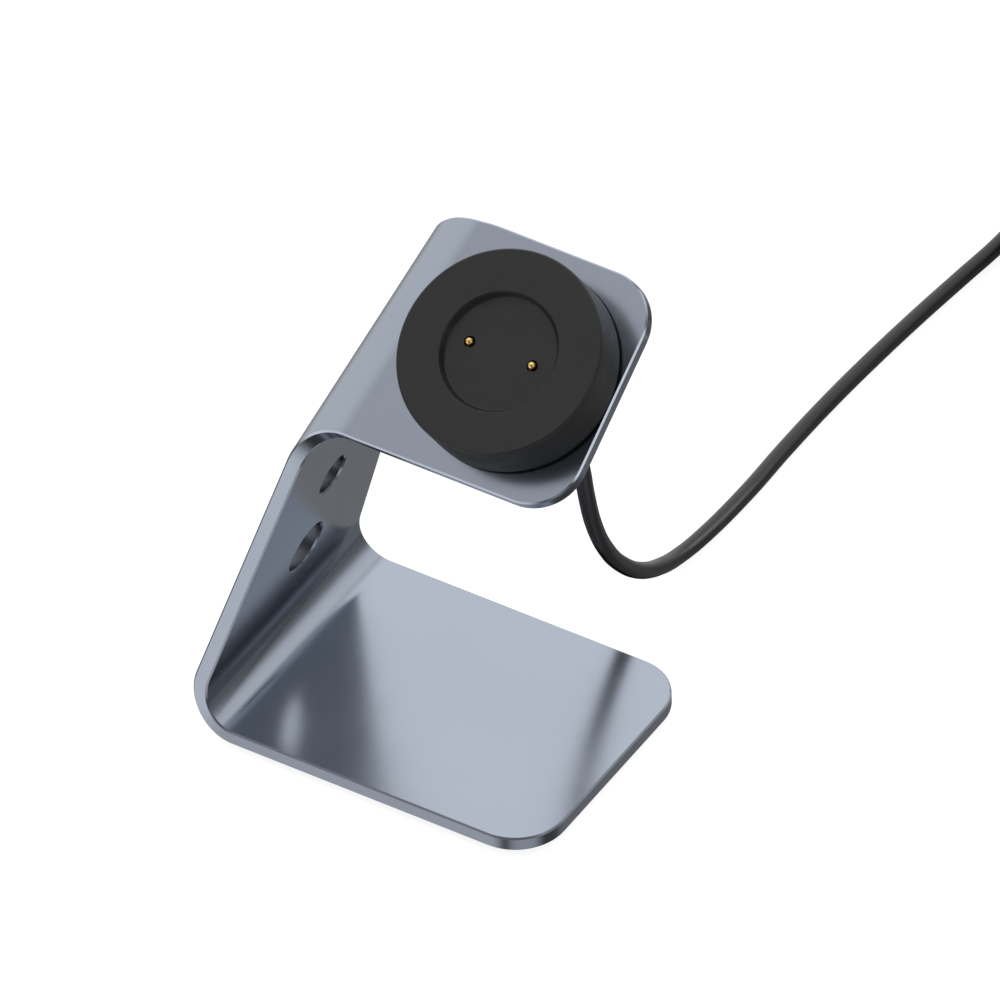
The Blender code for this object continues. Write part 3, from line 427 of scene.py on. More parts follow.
turn_1 = math.pi / 2 + WALL_LEAN
set_1, arc_1 = FOLD_1 * math.tan(turn_1 / 2), FOLD_1 * turn_1
crease = wall_in.cross(top_out).normalized()
crease = crease if crease.y > 0 else -crease
crease_up, crease_back = crease.dot(up_wall), crease.dot(back)
across_wall = up_wall * crease_back - back * crease_up
across_top = right * crease.dot(up_slope) - up_slope * crease.dot(right)
turn_2 = across_wall.angle(across_top)
set_2, arc_2 = FOLD_2 * math.tan(turn_2 / 2), FOLD_2 * turn_2
fold_front = up_wall * WALL_RISE + back * TOP_SETBACK + Vector((0, 0, SHEET))
crease_length = TOP_DEPTH / crease.dot(up_slope)
print(f"folds: {math.degrees(turn_1):.1f} and {math.degrees(turn_2):.1f} degrees")


# %% From the flat blank to the folded sheet
def crease_to_blank(across, along):
    rise = WALL_RISE + across * crease_back + along * crease_up
    depth = TOP_SETBACK - across * crease_up + along * crease_back
    return rise - set_1 + arc_1, depth


def top_to_blank(to_right, up):
    away = to_right * right.dot(across_top) + up * up_slope.dot(across_top)
    along = to_right * right.dot(crease) + up * up_slope.dot(crease)
    return crease_to_blank(away - 2 * set_2 + arc_2, along)


def folded(run, depth):
    """Where a point of the flat blank ends up, in the dock's frame."""
    if run <= 0:
        return Vector((set_1 - run, depth, SHEET))
    if run <= arc_1:
        angle = run / FOLD_1
        rise = FOLD_1 * (1 - math.cos(angle))
        return Vector((set_1 - FOLD_1 * math.sin(angle), depth, SHEET + rise))
    rise = run - arc_1 + set_1 - WALL_RISE
    behind = depth - TOP_SETBACK
    across = rise * crease_back - behind * crease_up
    along = rise * crease_up + behind * crease_back
    past = across + set_2
    on_wall = fold_front + crease * along
    if past <= 0:
        return on_wall + across_wall * across
    angle = min(past, arc_2) / FOLD_2
    return (
        on_wall + across_wall * (FOLD_2 * math.sin(angle) - set_2)
        + wall_in * (FOLD_2 * (1 - math.cos(angle))) + across_top * max(past - arc_2, 0)
    )


# %% The blank's outline
QUARTER, CORNER_STEPS = math.pi / 2, 16


def rounded(centre, radius, start):
    """The points of a quarter round, from a starting angle."""
    return [
        (centre[0] + radius * math.cos(start + QUARTER * step / CORNER_STEPS),
         centre[1] + radius * math.sin(start + QUARTER * step / CORNER_STEPS))
        for step in range(CORNER_STEPS + 1)
    ]


def joining(start, start_slope, end, end_slope, length, t):
    """A cubic that leaves one straight edge and joins the next without a corner."""
    return (
        start * (2 * t ** 3 - 3 * t ** 2 + 1) + start_slope * length * (t ** 3 - 2 * t ** 2 + t)
        + end * (3 * t ** 2 - 2 * t ** 3) + end_slope * length * (t ** 3 - t ** 2)
    )


def long_edge(front):
    """The front or back edge of the blank, from the base to the top plate."""
    middle = 0.0 if front else crease_length
    run_out = 0.0 if front else BACK_CORNER
    start = 0.0 if front else BASE_DEPTH
    slope = (TOP_SETBACK + middle * crease_back - start) / (WALL_RISE + middle * crease_up)
    at_wall = start + slope * set_1
    points = [
        (arc_1 * step / STRIPS, joining(start, 0, at_wall, slope, arc_1, step / STRIPS))
        for step in range(STRIPS + 1)
    ]
    wall_slope = (crease_up + slope * crease_back) / (crease_back - slope * crease_up)
    top_slope = right.dot(crease) / right.dot(across_top)
    first, last = middle - set_2 * wall_slope, middle + (set_2 + run_out) * top_slope
    for step in range(STRIPS + 1):
        part = step / STRIPS
        points.append(crease_to_blank(
            (arc_2 + run_out) * part - set_2,
            joining(first, wall_slope, last, top_slope, arc_2 + run_out, part),
        ))
    return points


base_turn = set_1 - BASE_LENGTH + BASE_CORNER
top_turn = TOP_LENGTH - TOP_CORNER
outline = rounded((base_turn, BASE_CORNER), BASE_CORNER, 2 * QUARTER)
outline += long_edge(front=True)
for depth, start in ((TOP_CORNER, -QUARTER), (TOP_DEPTH - TOP_CORNER, 0)):
    outline += [top_to_blank(*point) for point in rounded((top_turn, depth), TOP_CORNER, start)]
outline += reversed(long_edge(front=False))
outline += rounded((base_turn, BASE_DEPTH - BASE_CORNER), BASE_CORNER, QUARTER)
print(f"blank: {len(outline)} points round its outline")

# %% Cut the strips and fold
sheet = bmesh.new()
corners = [sheet.verts.new((run, depth, 0)) for run, depth in outline]
rim = [sheet.edges.new(pair) for pair in zip(corners, corners[1:] + corners[:1])]
bmesh.ops.contextual_create(sheet, geom=rim)
for face in sheet.faces:
    face.normal_update()
    if face.normal.z < 0:
        face.normal_flip()
for step in range(STRIPS + 1):
    slant = crease_to_blank(arc_2 * step / STRIPS - set_2, 0)
    for point, normal in (
        ((arc_1 * step / STRIPS, 0, 0), (1, 0, 0)),
        ((*slant, 0), (crease_back, -crease_up, 0)),
    ):
        bmesh.ops.bisect_plane(
            sheet, geom=sheet.verts[:] + sheet.edges[:] + sheet.faces[:], dist=2e-6,
            plane_co=point, plane_no=normal,
        )
for vert in sheet.verts:
    vert.co = folded(vert.co.x, vert.co.y) + STAND_AT
print("folded sheet:", len(sheet.faces), "faces")

# %% Give the sheet its thickness and chamfer
blank = scene_object("blank", bpy.data.meshes.new("blank"))
sheet.to_mesh(blank.data)
thicken = blank.modifiers.new("Sheet", "SOLIDIFY")
thicken.thickness, thicken.offset, thicken.use_even_offset = SHEET, 1.0, True
chamfer = blank.modifiers.new("Chamfer", "BEVEL")
chamfer.width, chamfer.segments, chamfer.limit_method = CHAMFER, 1, "ANGLE"
chamfer.angle_limit = math.radians(60)
chamfer.use_clamp_overlap = False
chamfer.material = 1
blank.data.materials.append(bpy.data.materials.new("sheet face"))
blank.data.materials.append(bpy.data.materials.new("sheet edge"))
sheet.clear()
sheet.from_mesh(finished_mesh(blank))
print("thick sheet:", len(sheet.faces), "faces")

# %% [markdown]
# The wall has two round holes that the cable can be led through, and the top
# plate has a larger one for the puck's neck, which the puck hides. Each is cut
# with a drill that is wider past both faces, so the same Boolean leaves a
# chamfer at both rims. The drill's own material numbers pass to the cut: the
# chamfers are bright, and the walls of the holes get a dark finish that paints
# the shade inside a bore.

# %% Drill the holes
# Each hole in the wall has a diameter, a height up the wall and a distance
# behind its front.
UPPER_HOLE, LOWER_HOLE = (0.0076, 0.0362, 0.0323), (0.0098, 0.0189, 0.0299)
NECK_HOLE, PAST_FACE = 0.0200, 0.001


def drill(diameter):
    """A drill with a countersink at both faces of the sheet."""
    radius, half, over = diameter / 2, SHEET / 2, SHEET / 2 + PAST_FACE
    wide = radius + CHAMFER + PAST_FACE
    tool = turned([
        (0, over), (wide, over), (radius, half - CHAMFER),
        (radius, CHAMFER - half), (wide, -over), (0, -over),
    ], steps=64)
    for face in tool.faces:
        face.normal_update()
        # Index 2 is the bore wall, whose dark finish paints the shade inside the hole.
        face.material_index = 2 if abs(face.normal.z) < 0.1 else 1
    return tool


def through_wall(diameter, rise, behind):
    """A drill that stands square in the wall, so high up and so far behind the front."""
    tool = drill(diameter)
    inner_face = STAND_AT + up_wall * rise + back * behind + Vector((0, 0, SHEET))
    middle = inner_face - wall_in * (SHEET / 2)
    bmesh.ops.transform(
        tool, verts=tool.verts,
        matrix=Matrix.Translation(middle) @ Matrix.Rotation(math.pi / 2 + WALL_LEAN, 4, "Y"),
    )
    return tool


neck_drill = drill(NECK_HOLE)
bmesh.ops.transform(
    neck_drill, matrix=on_plate @ Matrix.Translation((0, 0, -SHEET / 2)), verts=neck_drill.verts,
)
sheet = carved(sheet, [through_wall(*UPPER_HOLE), through_wall(*LOWER_HOLE), neck_drill], "sheet")
print("drilled sheet:", len(sheet.faces), "faces")

# %% [markdown]
# The aluminium is blasted with fine beads and anodised in a blue grey, so it
# is a smooth metal with a very fine grain. The chamfers are brighter. The
# drilled walls are rougher, and their dark colour is painted shade for the
# inside of the holes.

# %% The metal's three finishes
anodised = finish(
    "anodised_aluminium", (0.355, 0.393, 0.460), 0.205, metal=1.0, clouds_mm=40, tint=0.025,
    gloss=0.015, grain_mm=0.16, grain_depth=0.0016,
)
cut_edge = finish(
    "bright_cut_edge", (0.42, 0.45, 0.52), 0.18, metal=1.0, clouds_mm=12, tint=0.04, gloss=0.03,
    grain_mm=0.10, grain_depth=0.001,
)
# The bores' dark colour is painted shade: it stands for the shade inside the holes.
bore_shade_paint = finish(
    "bore_painted_shade", (0.10, 0.11, 0.13), 0.30, metal=1.0, clouds_mm=6, tint=0.06, gloss=0.06,
    grain_mm=0.12, grain_depth=0.002,
)
print("metal finishes:", anodised.name, cut_edge.name, bore_shade_paint.name)

# %% [markdown]
# A folded sheet is never quite flat, and a mirror shows it: in the
# photograph, what the base and the top plate mirror falls a few degrees off
# its place on a true plane. The shape stays flat here, and only the normal
# that the shader reads is leaned. A mask by height keeps this to the base and
# a mask by direction to the top plate, and both fade out into the folds.

# %% Lean the mirror of the base and the top plate
# A lean is added to the unit normal. The base's fades out over a height in
# metres, and the top plate's between two cosines.
BASE_LEAN, BASE_FADE = (0.017, 0.085, 0), 0.0007
TOP_LEAN, TOP_FADE = (-0.009, -0.045, -0.031), (0.985, 0.9995)


def leaned(tree, normal, lean, share):
    """A normal that leans a little, by a share of a given vector."""
    add = tree.nodes.new("ShaderNodeVectorMath")
    add.operation = "MULTIPLY_ADD"
    add.inputs[0].default_value = lean
    link(tree, share, add.inputs[1])
    link(tree, normal, add.inputs[2])
    return add.outputs["Vector"]


def facing(tree, normal, toward):
    """How far a direction turns toward a given one, as a cosine."""
    dot = tree.nodes.new("ShaderNodeVectorMath")
    dot.operation = "DOT_PRODUCT"
    dot.inputs[1].default_value = toward
    link(tree, normal, dot.inputs[0])
    return dot.outputs["Value"]


metal = anodised.node_tree
height = metal.nodes.new("ShaderNodeSeparateXYZ")
link(metal, metal.nodes.new("ShaderNodeTexCoord").outputs["Object"], height.inputs["Vector"])
square = metal.nodes.new("ShaderNodeNewGeometry").outputs["Normal"]
base_face = STAND_AT.z + SHEET
fade = (base_face, base_face + BASE_FADE)
on_base = mapped(metal, height.outputs["Z"], fade, (1, 0), "SMOOTHSTEP")
on_top = mapped(metal, facing(metal, square, plate_out), TOP_FADE, (0, 1), "SMOOTHSTEP")
bowed = leaned(metal, leaned(metal, square, BASE_LEAN, on_base), TOP_LEAN, on_top)
unit = metal.nodes.new("ShaderNodeVectorMath")
unit.operation = "NORMALIZE"
link(metal, bowed, unit.inputs[0])
link(metal, unit.outputs["Vector"], grain_bump(anodised).inputs["Normal"])

# %% The stand
stand = piece(
    "stand_sheet", sheet, [anodised, cut_edge, bore_shade_paint], ["stand"],
    sharp=25,
)
print("stand:", len(stand.data.polygons), "faces")

# %% [markdown]
# ## The puck
# The housing is a moulded cup turned upside down. Its rim has a small round,
# and its recess has a sloping wall that leads the watch onto the pins. The
# plastic is almost black, with the fine sparkle that a spark-eroded mould
# leaves.

# %% Puck housing
puck_plastic = finish(
    "puck_plastic", (0.0090, 0.0090, 0.0095), 0.40, clouds_mm=14, tint=0.08, gloss=0.05,
    grain_mm=0.14, grain_depth=0.004, Specular_IOR_Level=0.5,
)
# Radii, and heights above the top plate.
PUCK, SKIRT, INSIDE, BOSS = 0.0185, 0.0180, 0.0164, 0.0115
RIM, ROOF, FLOOR_TOP, FLOOR_UNDER, FOOT, SEAT = 0.0105, 0.0090, 0.0092, 0.0077, 0.0008, 0.0003
RECESS_FLOOR, RECESS_MOUTH, PUCK_FOOT = (0.0101, FLOOR_TOP), (0.0108, RIM), (PUCK, FOOT)
PIN_AT, PIN_HOLE, DRILL_TOP, DRILL_TIP = 0.00625, 0.00105, 0.012, 0.006
housing = turned([
    (0, FLOOR_TOP), RECESS_FLOOR, RECESS_MOUTH, (PUCK, RIM), PUCK_FOOT, (SKIRT, FOOT),
    (SKIRT, SEAT), (INSIDE, SEAT), (INSIDE, ROOF), (BOSS, ROOF),
    (BOSS, FLOOR_UNDER), (0, FLOOR_UNDER),
], steps=128)


def loops_at(bm, *places):
    """The round edges at these (radius, height) corners of a turned piece."""
    return [
        edge for edge in bm.edges
        if any(all(
            abs(Vector(vert.co.xy).length - radius) < 1e-5 and abs(vert.co.z - height) < 1e-5
            for vert in edge.verts
        ) for radius, height in places)
    ]


def pin_drill(side):
    tool = turned([
        (0, DRILL_TOP), (PIN_HOLE, DRILL_TOP), (PIN_HOLE, DRILL_TIP), (0, DRILL_TIP),
    ], steps=48)
    bmesh.ops.translate(tool, vec=(side * PIN_AT, 0, 0), verts=tool.verts)
    return tool


bevelled(housing, loops_at(housing, (PUCK, RIM)), 0.00045, 5)
bevelled(housing, loops_at(housing, RECESS_MOUTH, RECESS_FLOOR), 0.00015, 3)
bevelled(housing, loops_at(housing, PUCK_FOOT), 0.00008, 2)
housing = carved(housing, [pin_drill(side) for side in (-1, 1)], "housing")
print("puck housing:", len(housing.faces), "faces")
piece("puck_cup", housing, puck_plastic, ["puck_housing"], on_plate)

# %% [markdown]
# ## The contact pins
# Each pin is a turned, gold-plated plunger with a domed tip. A flange keeps
# it in its barrel, and a spring below pushes it up. The plungers slide, so
# they ride on bodies of their own; the springs stay with the dock.

# %% Metals for the pins
gold = finish(
    "pin_gold", (0.90, 0.62, 0.22), 0.20, metal=1.0, clouds_mm=1.5, tint=0.05, gloss=0.05,
    grain_mm=0.05, grain_depth=0.0006,
)
brass = finish(
    "turned_brass", (0.66, 0.48, 0.19), 0.30, metal=1.0, clouds_mm=2, tint=0.06, gloss=0.05,
    grain_mm=0.08, grain_depth=0.001, stretch=(1, 1, 6),
)
spring_steel = finish(
    "spring_steel", (0.52, 0.52, 0.54), 0.30, metal=1.0, clouds_mm=2, tint=0.05, gloss=0.05,
    grain_mm=0.06, grain_depth=0.0008,
)
print("pin metals:", gold.name, brass.name, spring_steel.name)

# %% A plunger and a spring
PIN, FLANGE = 0.00075, 0.0012
FLANGE_TOP, FLANGE_LOW, PIN_TOP = 0.0066, 0.0061, 0.0101
SPRING, WIRE, SPRING_TURNS, SPRING_STEPS = 0.00085, 0.00012, 3, 24
SPRING_LOW, SPRING_TOP, PIN_TRAVEL = 0.00422, 0.00568, 0.0008


def plunger_shape():
    dome = [
        (PIN * math.sin(math.radians(a)), PIN_TOP - PIN + PIN * math.cos(math.radians(a)))
        for a in range(0, 91, 9)
    ]
    return turned([
        *dome, (PIN, FLANGE_TOP), (FLANGE, FLANGE_TOP), (FLANGE, FLANGE_LOW), (0, FLANGE_LOW),
    ], steps=40)


def wound_spring(name, at):
    """A round wire on a helix, made a mesh."""
    coil = bpy.data.curves.new(name, "CURVE")
    coil.dimensions = "3D"
    coil.bevel_depth, coil.bevel_resolution, coil.use_fill_caps = WIRE, 3, True
    wire = coil.splines.new("POLY")
    steps = SPRING_TURNS * SPRING_STEPS
    wire.points.add(steps)
    for step, point in enumerate(wire.points):
        angle = 2 * math.pi * step / SPRING_STEPS
        height = SPRING_LOW + (SPRING_TOP - SPRING_LOW) * step / steps
        place = at @ Vector((SPRING * math.cos(angle), SPRING * math.sin(angle), height))
        point.co = (*place, 1)
    wound = finished_mesh(scene_object("spring_guide", coil))
    wound.materials.clear()
    wound.materials.append(spring_steel)
    wound.shade_smooth()
    return scene_object(name, wound)


# %% Pins, barrels and springs
for side, word in ((-1, "left"), (1, "right")):
    at = on_plate @ Matrix.Translation((side * PIN_AT, 0, 0))
    piece("plunger_" + word, plunger_shape(), gold, ["pin_plunger_" + word], at,
          body=word + "_pin")
    piece("barrel_" + word, softened(merged_copy("pin_barrel_" + word), 0.00004, 2),
          brass, ["pin_barrel_" + word])
    spring = wound_spring("spring_" + word, at)
    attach(spring, "dock")
    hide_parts("pin_spring_" + word)
    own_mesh(spring)

# %% [markdown]
# ## The smaller pieces
# Many pieces already have their right shape in the CAD model: the ring below
# the housing, the cap and its screws, the magnets, the board, the leads, the
# pad and the plug's inner pieces. Each is a copy of its CAD node with softer
# edges and a finish of its own. The strap round the coil is woven, so two sets
# of waves across each other are added to its grain.

# %% A weave for the strap
WAVE_REPEAT = 0.314  # metres from one wave to the next, at a scale of 1


def weave(made, thread_mm, depth_mm):
    """Adds threads across each other to a finish."""
    tree = made.node_tree
    where = tree.nodes.new("ShaderNodeTexCoord").outputs["Object"]
    threads = []
    for direction in ("X", "DIAGONAL"):
        wave = tree.nodes.new("ShaderNodeTexWave")
        wave.bands_direction = direction
        wave.inputs["Scale"].default_value = WAVE_REPEAT / (thread_mm * MM)
        link(tree, where, wave.inputs["Vector"])
        threads.append(wave.outputs["Fac"])
    both = tree.nodes.new("ShaderNodeMath")
    both.operation = "MULTIPLY"
    link(tree, threads[0], both.inputs[0])
    link(tree, threads[1], both.inputs[1])
    over = tree.nodes.new("ShaderNodeBump")
    over.inputs["Distance"].default_value = depth_mm * MM
    link(tree, both.outputs["Value"], over.inputs["Height"])
    link(tree, grain_bump(made).outputs["Normal"], over.inputs["Normal"])
    link(tree, over.outputs["Normal"], tree.nodes["Principled BSDF"].inputs["Normal"])


# %% Finishes for the smaller pieces
base_plastic = finish(
    "base_plastic", (0.022, 0.022, 0.023), 0.50, clouds_mm=14, tint=0.08, gloss=0.05,
    grain_mm=0.18, grain_depth=0.005,
)
screw_steel = finish(
    "screw_steel", (0.42, 0.42, 0.44), 0.30, metal=1.0, clouds_mm=2, tint=0.06, gloss=0.06,
    grain_mm=0.07, grain_depth=0.001,
)
nickel = finish(
    "magnet_nickel", (0.60, 0.59, 0.56), 0.22, metal=1.0, clouds_mm=4, grain_mm=0.1,
    grain_depth=0.001,
)
plug_steel = finish(
    "plug_steel", (0.60, 0.60, 0.61), 0.24, metal=1.0, clouds_mm=6, grain_mm=0.12,
    grain_depth=0.001,
)
# Each row has a name, a colour and a roughness, and then the sizes of the
# clouds and of the grain, and the grain's depth, in millimetres.
MATT = (
    ("circuit_board", (0.012, 0.075, 0.030), 0.35, 6, 0.40, 0.004),
    ("silicone_pad", (0.022, 0.022, 0.023), 0.70, 20, 0.50, 0.020),
    ("relief_rubber", (0.017, 0.017, 0.018), 0.48, 8, 0.20, 0.005),
    ("plug_plastic", (0.020, 0.020, 0.0205), 0.45, 12, 0.16, 0.005),
    ("tongue_plastic", (0.78, 0.78, 0.75), 0.42, 6, 0.20, 0.003),
    ("lead_sleeve_red", (0.30, 0.015, 0.015), 0.40, 4, 0.20, 0.003),
    ("lead_sleeve_black", (0.02, 0.02, 0.02), 0.40, 4, 0.20, 0.003),
    ("tie_strap", (0.030, 0.030, 0.032), 0.80, 5, 0.12, 0.020),
)
matt = {row[0]: finish(*row) for row in MATT}
weave(matt["tie_strap"], thread_mm=0.7, depth_mm=0.05)
print("matt finishes:", ", ".join(matt))

# %% Pieces from the CAD shapes
# Each row has the piece, its CAD node, its finish, its slot and the width of
# its softened edges.
CARRIED_OVER = [
    ("puck_floor_ring", "puck_base", base_plastic, "base_plastic", 0.0001),
    ("cap_shell", "outlet_cap", base_plastic, "base_plastic", 0.00015),
    *[(f"screw_head_{number}", f"cap_screw_{number}", screw_steel, "screw_steel", 0.00008)
      for number in (1, 2, 3)],
    ("board_disc", "contact_board", matt["circuit_board"], "circuit_board", 0.00005),
    *[(f"magnet_disc_{number}", f"magnet_{number}", nickel, "magnet_nickel", 0.0001)
      for number in (1, 2, 3, 4)],
    ("lead_wire_left", "lead_left", matt["lead_sleeve_red"], "lead_sleeve_red", 0),
    ("lead_wire_right", "lead_right", matt["lead_sleeve_black"], "lead_sleeve_black", 0),
    ("pad_sheet", "base_pad", matt["silicone_pad"], "silicone_pad", 0.0001),
    ("plug_blade", "plug_tongue", matt["tongue_plastic"], "tongue_plastic", 0.0001),
    *[(f"plug_strip_{number}", f"plug_contact_{number}", gold, "contact_gold", 0.00003)
      for number in (1, 2, 3, 4)],
]
for name, node, look, slot, width in CARRIED_OVER:
    shape = merged_copy(node)
    if width:
        softened(shape, width, 2, over=50)
    piece(name, shape, look, [node])
print(len(CARRIED_OVER), "pieces from CAD shapes")

# %% [markdown]
# ## Strain reliefs, plug and strap
# Both strain reliefs are soft tapered sleeves with a few rings cut into them,
# so that they bend in a curve. Each has a bore that the cable goes into, and
# the one at the puck starts as the collar that the cap holds.

# %% Sleeves with rings
RINGS, BORE = 4, CABLE / 2 + 0.00006


def ringed(start, end, depth):
    """A straight slope from one (radius, height) to another, with square rings cut into it."""
    points = [start]
    for ring in range(RINGS):
        for share, sunk in ((0.25, 0), (0.32, depth), (0.68, depth), (0.75, 0)):
            part = (ring + share) / RINGS
            radius, height = (a + (b - a) * part for a, b in zip(start, end))
            points.append((radius - sunk, height))
    return points + [end]


def sleeve_piece(name, profile, node, place):
    shape = softened(turned(profile, steps=64), 0.00006, 2)
    print(f"{name}: {len(shape.faces)} faces")
    piece(name, shape, matt["relief_rubber"], [node], place)


sleeve_piece("relief_sleeve", [
    # the collar above the cap, the neck in the cap's hole and the flange below
    (0, -0.0030), (0.0039, -0.0030), (0.0039, -0.0045), (0.0027, -0.0045), (0.0027, -0.0066),
    (0.0032, -0.0066), (0.0032, -0.0078),
    # the rings
    *ringed((0.0027, -0.0084), (0.0021, RELIEF_TIP), 0.0003),
    # the tip and the bore
    (0.0020, -0.0151), (BORE, -0.0151), (BORE, -0.0126), (0, -0.0126),
], "strain_relief", on_plate)
sleeve_piece("plug_boot", [
    # the end inside the moulding, the rings, and the tip with its bore
    (0, 0.0080), (0.0029, 0.0080),
    *ringed((0.0029, 0.0078), (0.00215, 0.0003), 0.00035),
    (0.00205, 0), (BORE, 0), (BORE, 0.0034), (0, 0.0034),
], "plug_relief", on_plug @ Matrix.Rotation(math.pi / 2, 4, "Y"))

# %% [markdown]
# The plug's moulding has three grip grooves on either side. Its steel shell is
# folded from strip, so it has rounded long edges and a seam below.

# %% Plug
GRIP, FIRST_GRIP, GRIPS_APART, PLUG_SIDE = (0.0008, 0.0010, 0.0050), 0.0140, 0.0020, 0.0080
SEAM, SEAM_AT = (0.0200, 0.00012, 0.0002), (0.0350, 0.0008, -0.00226)
SHELL_LENGTH, SHELL_SIDE, SHELL_TOP, SHELL_ROUND = 0.010, 0.00599, 0.00224, 0.00028


def block(size, centre, place):
    """A box to cut with or to add, in the frame of what it belongs to."""
    tool = bmesh.new()
    bmesh.ops.create_cube(tool, size=1.0)
    bmesh.ops.scale(tool, vec=size, verts=tool.verts)
    bmesh.ops.translate(tool, vec=centre, verts=tool.verts)
    bmesh.ops.transform(tool, matrix=place, verts=tool.verts)
    return tool


grips = [
    block(GRIP, (FIRST_GRIP + GRIPS_APART * number, side * PLUG_SIDE, 0), on_plug)
    for number in range(3) for side in (-1, 1)
]
moulding = carved(merged_copy("plug_overmould"), grips, "grips")
piece("plug_body", moulding, matt["plug_plastic"], ["plug_overmould"])

can = merged_copy("plug_shell")
long_edges = []
for edge in can.edges:
    one, two = (on_plug.inverted() @ vert.co for vert in edge.verts)
    at_side = min(abs(one.y), abs(two.y)) > SHELL_SIDE
    at_top = min(abs(one.z), abs(two.z)) > SHELL_TOP
    if at_side and at_top and abs(one.x - two.x) > SHELL_LENGTH:
        long_edges.append(edge)
bevelled(can, long_edges, SHELL_ROUND, 4)
can = carved(can, [block(SEAM, SEAM_AT, on_plug)], "seam")
print(f"shell: {len(long_edges)} long edges rounded")
piece("plug_can", can, plug_steel, ["plug_shell"])

# %% [markdown]
# A woven strap goes once round the coil's bundle of strands. It is closed with
# a tab on its outside, which is a rounded block that joins the band's mesh.

# %% Strap round the coil
TAB, TAB_AT, TAB_LEAN = (0.0056, 0.0060, 0.0007), (0, 0.0006, 0.00625), math.radians(-12)
band = softened(merged_copy("cable_tie"), 0.00015, 2, over=50)
on_bundle = on_coil @ Matrix.Translation((0, COIL_RADIUS, 0))
tab = block(TAB, TAB_AT, on_bundle @ Matrix.Rotation(TAB_LEAN, 4, "X"))
softened(tab, 0.00025, 3)
tab_mesh = bpy.data.meshes.new("tab")
tab.to_mesh(tab_mesh)
tab.free()
band.from_mesh(tab_mesh)
print("strap:", len(band.faces), "faces")
piece("tie_band", band, matt["tie_strap"], ["cable_tie"])

# %% [markdown]
# The cable and the pieces that go with it are made now: it is about a metre
# long and leaves the dock at the tip of the strain relief.

# %% [markdown]
# ## Floor and light
# The photograph has a plain white ground with hardly a shadow, as on a table
# that is lit from below. So the floor is a pale plane that glows a little. It
# lies a hair below the dock, so that the two faces don't flicker. The metal
# must not mirror it, because the photograph's metal mirrors a darker room
# there, and a plane can be left out of glossy rays.

# %% Floor
FLOOR_HALF, FLOOR_DROP, FLOOR_GREY, FLOOR_GLOW = 3.0, 0.00005, 0.35, 0.88
floor_mesh = bmesh.new()
bmesh.ops.create_grid(floor_mesh, x_segments=1, y_segments=1, size=FLOOR_HALF)
floor_data = bpy.data.meshes.new("floor")
floor_mesh.to_mesh(floor_data)
floor_mesh.free()
floor = scene_object("floor", floor_data)
floor.location.z = -FLOOR_DROP
pale = bpy.data.materials.new("pale_floor")
pale.use_nodes = True
for socket, value in (
    ("Base Color", (*[FLOOR_GREY] * 3, 1)), ("Roughness", 0.9), ("Specular IOR Level", 0.0),
    ("Emission Color", (1, 1, 1, 1)), ("Emission Strength", FLOOR_GLOW),
):
    pale.node_tree.nodes["Principled BSDF"].inputs[socket].default_value = value
floor_data.materials.append(pale)
floor.visible_glossy = False
print(f"floor: {2 * FLOOR_HALF:.0f} m square")

# %% [markdown]
# Metal shows hardly anything but what it mirrors, so the light is a soft
# surround rather than lamps. It is brightest high up behind the dock's left
# side and falls off from there, as from one very large soft box. Two smaller
# panels light the cut edges: one in front, one at the right. A third, low at
# the front right, lights the far wall of the puck's recess. Two black cards
# take light away: the one below draws the dark line along the top plate's
# front edge, and the one at the back darkens the foot of the wall.

# %% The surround's light
# The fall-off pairs a cosine from the brightest direction with a light. A
# panel has a direction, an outer and an inner angle in degrees, and a light.
BRIGHTEST = (-0.45, 0.55, 0.70)
FALL_OFF = [
    (-1.00, 0.04), (-0.45, 0.10), (-0.34, 0.22), (-0.22, 0.26), (-0.10, 0.20),
    (0.10, 0.20), (0.26, 0.30), (0.44, 0.70), (0.53, 0.94), (0.60, 0.95),
    (0.68, 1.00), (0.80, 1.03), (0.90, 1.10), (1.00, 1.32),
]
MOST_LIGHT = 1.4
PANELS = [
    ("in front", (-0.40, -0.87, -0.24), 45, 12, 0.99),
    ("at the right", (0.92, -0.12, 0.38), 22, 8, 1.10),
    ("low at the front right", (0.72, -0.50, -0.48), 40, 15, 0.55),
    ("black card below", (-0.35, 0.36, -0.87), 26, 10, -0.22),
    ("black card at the back", (0.02, 0.82, 0.58), 10, 3, -0.75),
]
print(f"surround: {len(FALL_OFF)} steps of light, {len(PANELS)} panels and cards")

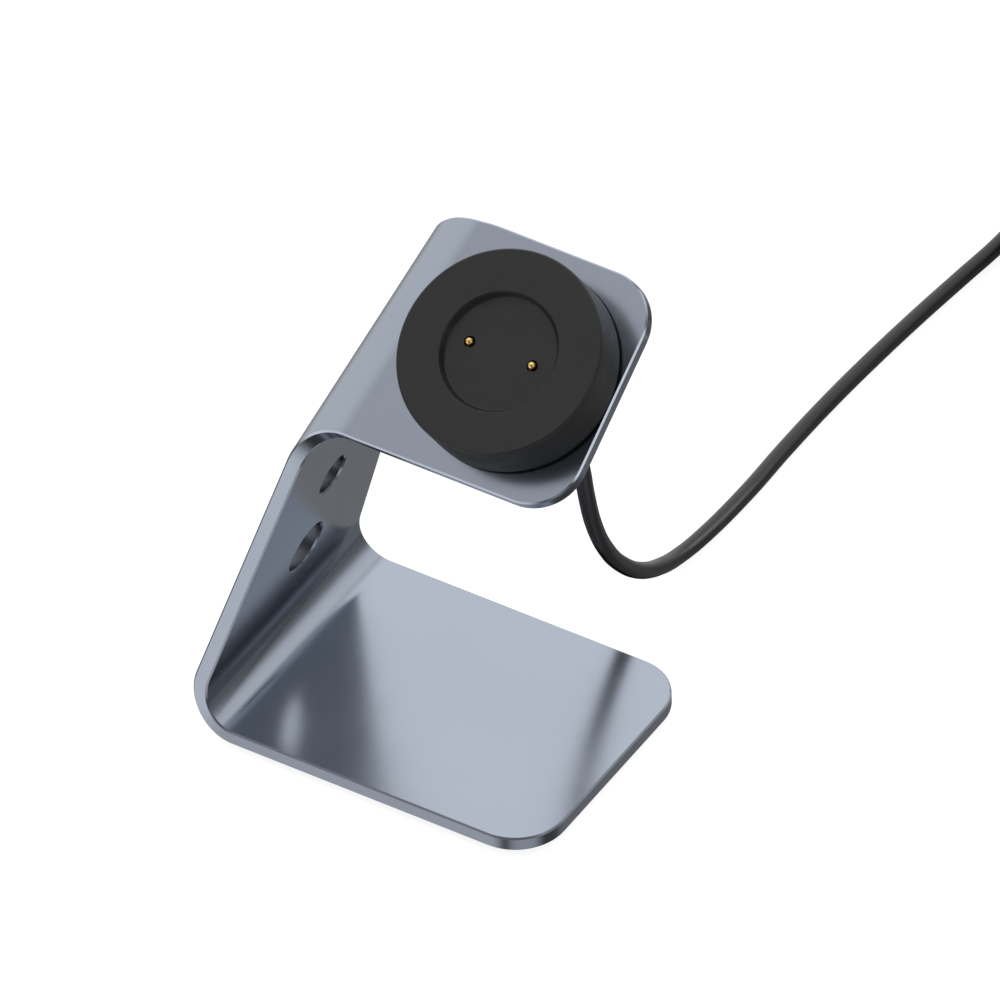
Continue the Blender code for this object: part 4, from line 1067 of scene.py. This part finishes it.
# %% Build the surround
world = bpy.data.worlds.new("studio")
world.use_nodes = True
bpy.context.scene.world = world
bpy.context.scene.view_settings.view_transform = "Standard"
room = world.node_tree
background = room.nodes["Background"]
background.inputs["Color"].default_value = (1, 1, 1, 1)
direction = room.nodes.new("ShaderNodeTexCoord").outputs["Generated"]


def toward_cosine(toward):
    return facing(room, direction, Vector(toward).normalized())


ramp = room.nodes.new("ShaderNodeValToRGB")
stops = ramp.color_ramp.elements
while len(stops) < len(FALL_OFF):
    stops.new(0.5)
for stop, (cosine, light) in zip(stops, FALL_OFF):
    stop.position = (cosine + 1) / 2
    stop.color = (*[light / MOST_LIGHT] * 3, 1)
link(room, mapped(room, toward_cosine(BRIGHTEST), (-1, 1), (0, 1)), ramp.inputs["Fac"])
total = mapped(room, ramp.outputs["Color"], (0, 1), (0, MOST_LIGHT))
for _, toward, outer, inner, strength in PANELS:
    rim = [math.cos(math.radians(angle)) for angle in (outer, inner)]
    soft = mapped(room, toward_cosine(toward), rim, (0, strength), "SMOOTHSTEP")
    add = room.nodes.new("ShaderNodeMath")
    add.operation = "ADD"
    link(room, total, add.inputs[0])
    link(room, soft, add.inputs[1])
    total = add.outputs["Value"]
link(room, total, background.inputs["Strength"])
print("surround:", len(room.nodes), "nodes")

# %% [markdown]
# The cable has a light line along its top that no wide light gives. A small
# lamp beside its lowest bend draws it. Light linking keeps the lamp to the
# cable, because on the metal it would be one more mirror image.

# %% A lamp for the cable
LAMP_AT, LAMP_AIM = Vector((0.0514, 0.0860, 0.0400)), Vector((0.016, 0.057, 0.0015))
lamp_data = bpy.data.lights.new("cable_light", "AREA")
lamp_data.size, lamp_data.energy = 0.04, 0.010
lamp = scene_object("cable_light", lamp_data)
lamp.location = LAMP_AT
lamp.rotation_euler = (LAMP_AIM - LAMP_AT).to_track_quat("-Z", "Y").to_euler()
lamp.visible_camera = False
only_cable = bpy.data.collections.new("lit by the cable light")
only_cable.objects.link(cable)
lamp.light_linking.receiver_collection = only_cable
print(f"lamp: {(LAMP_AIM - LAMP_AT).length * 1000:.0f} mm from the cable")
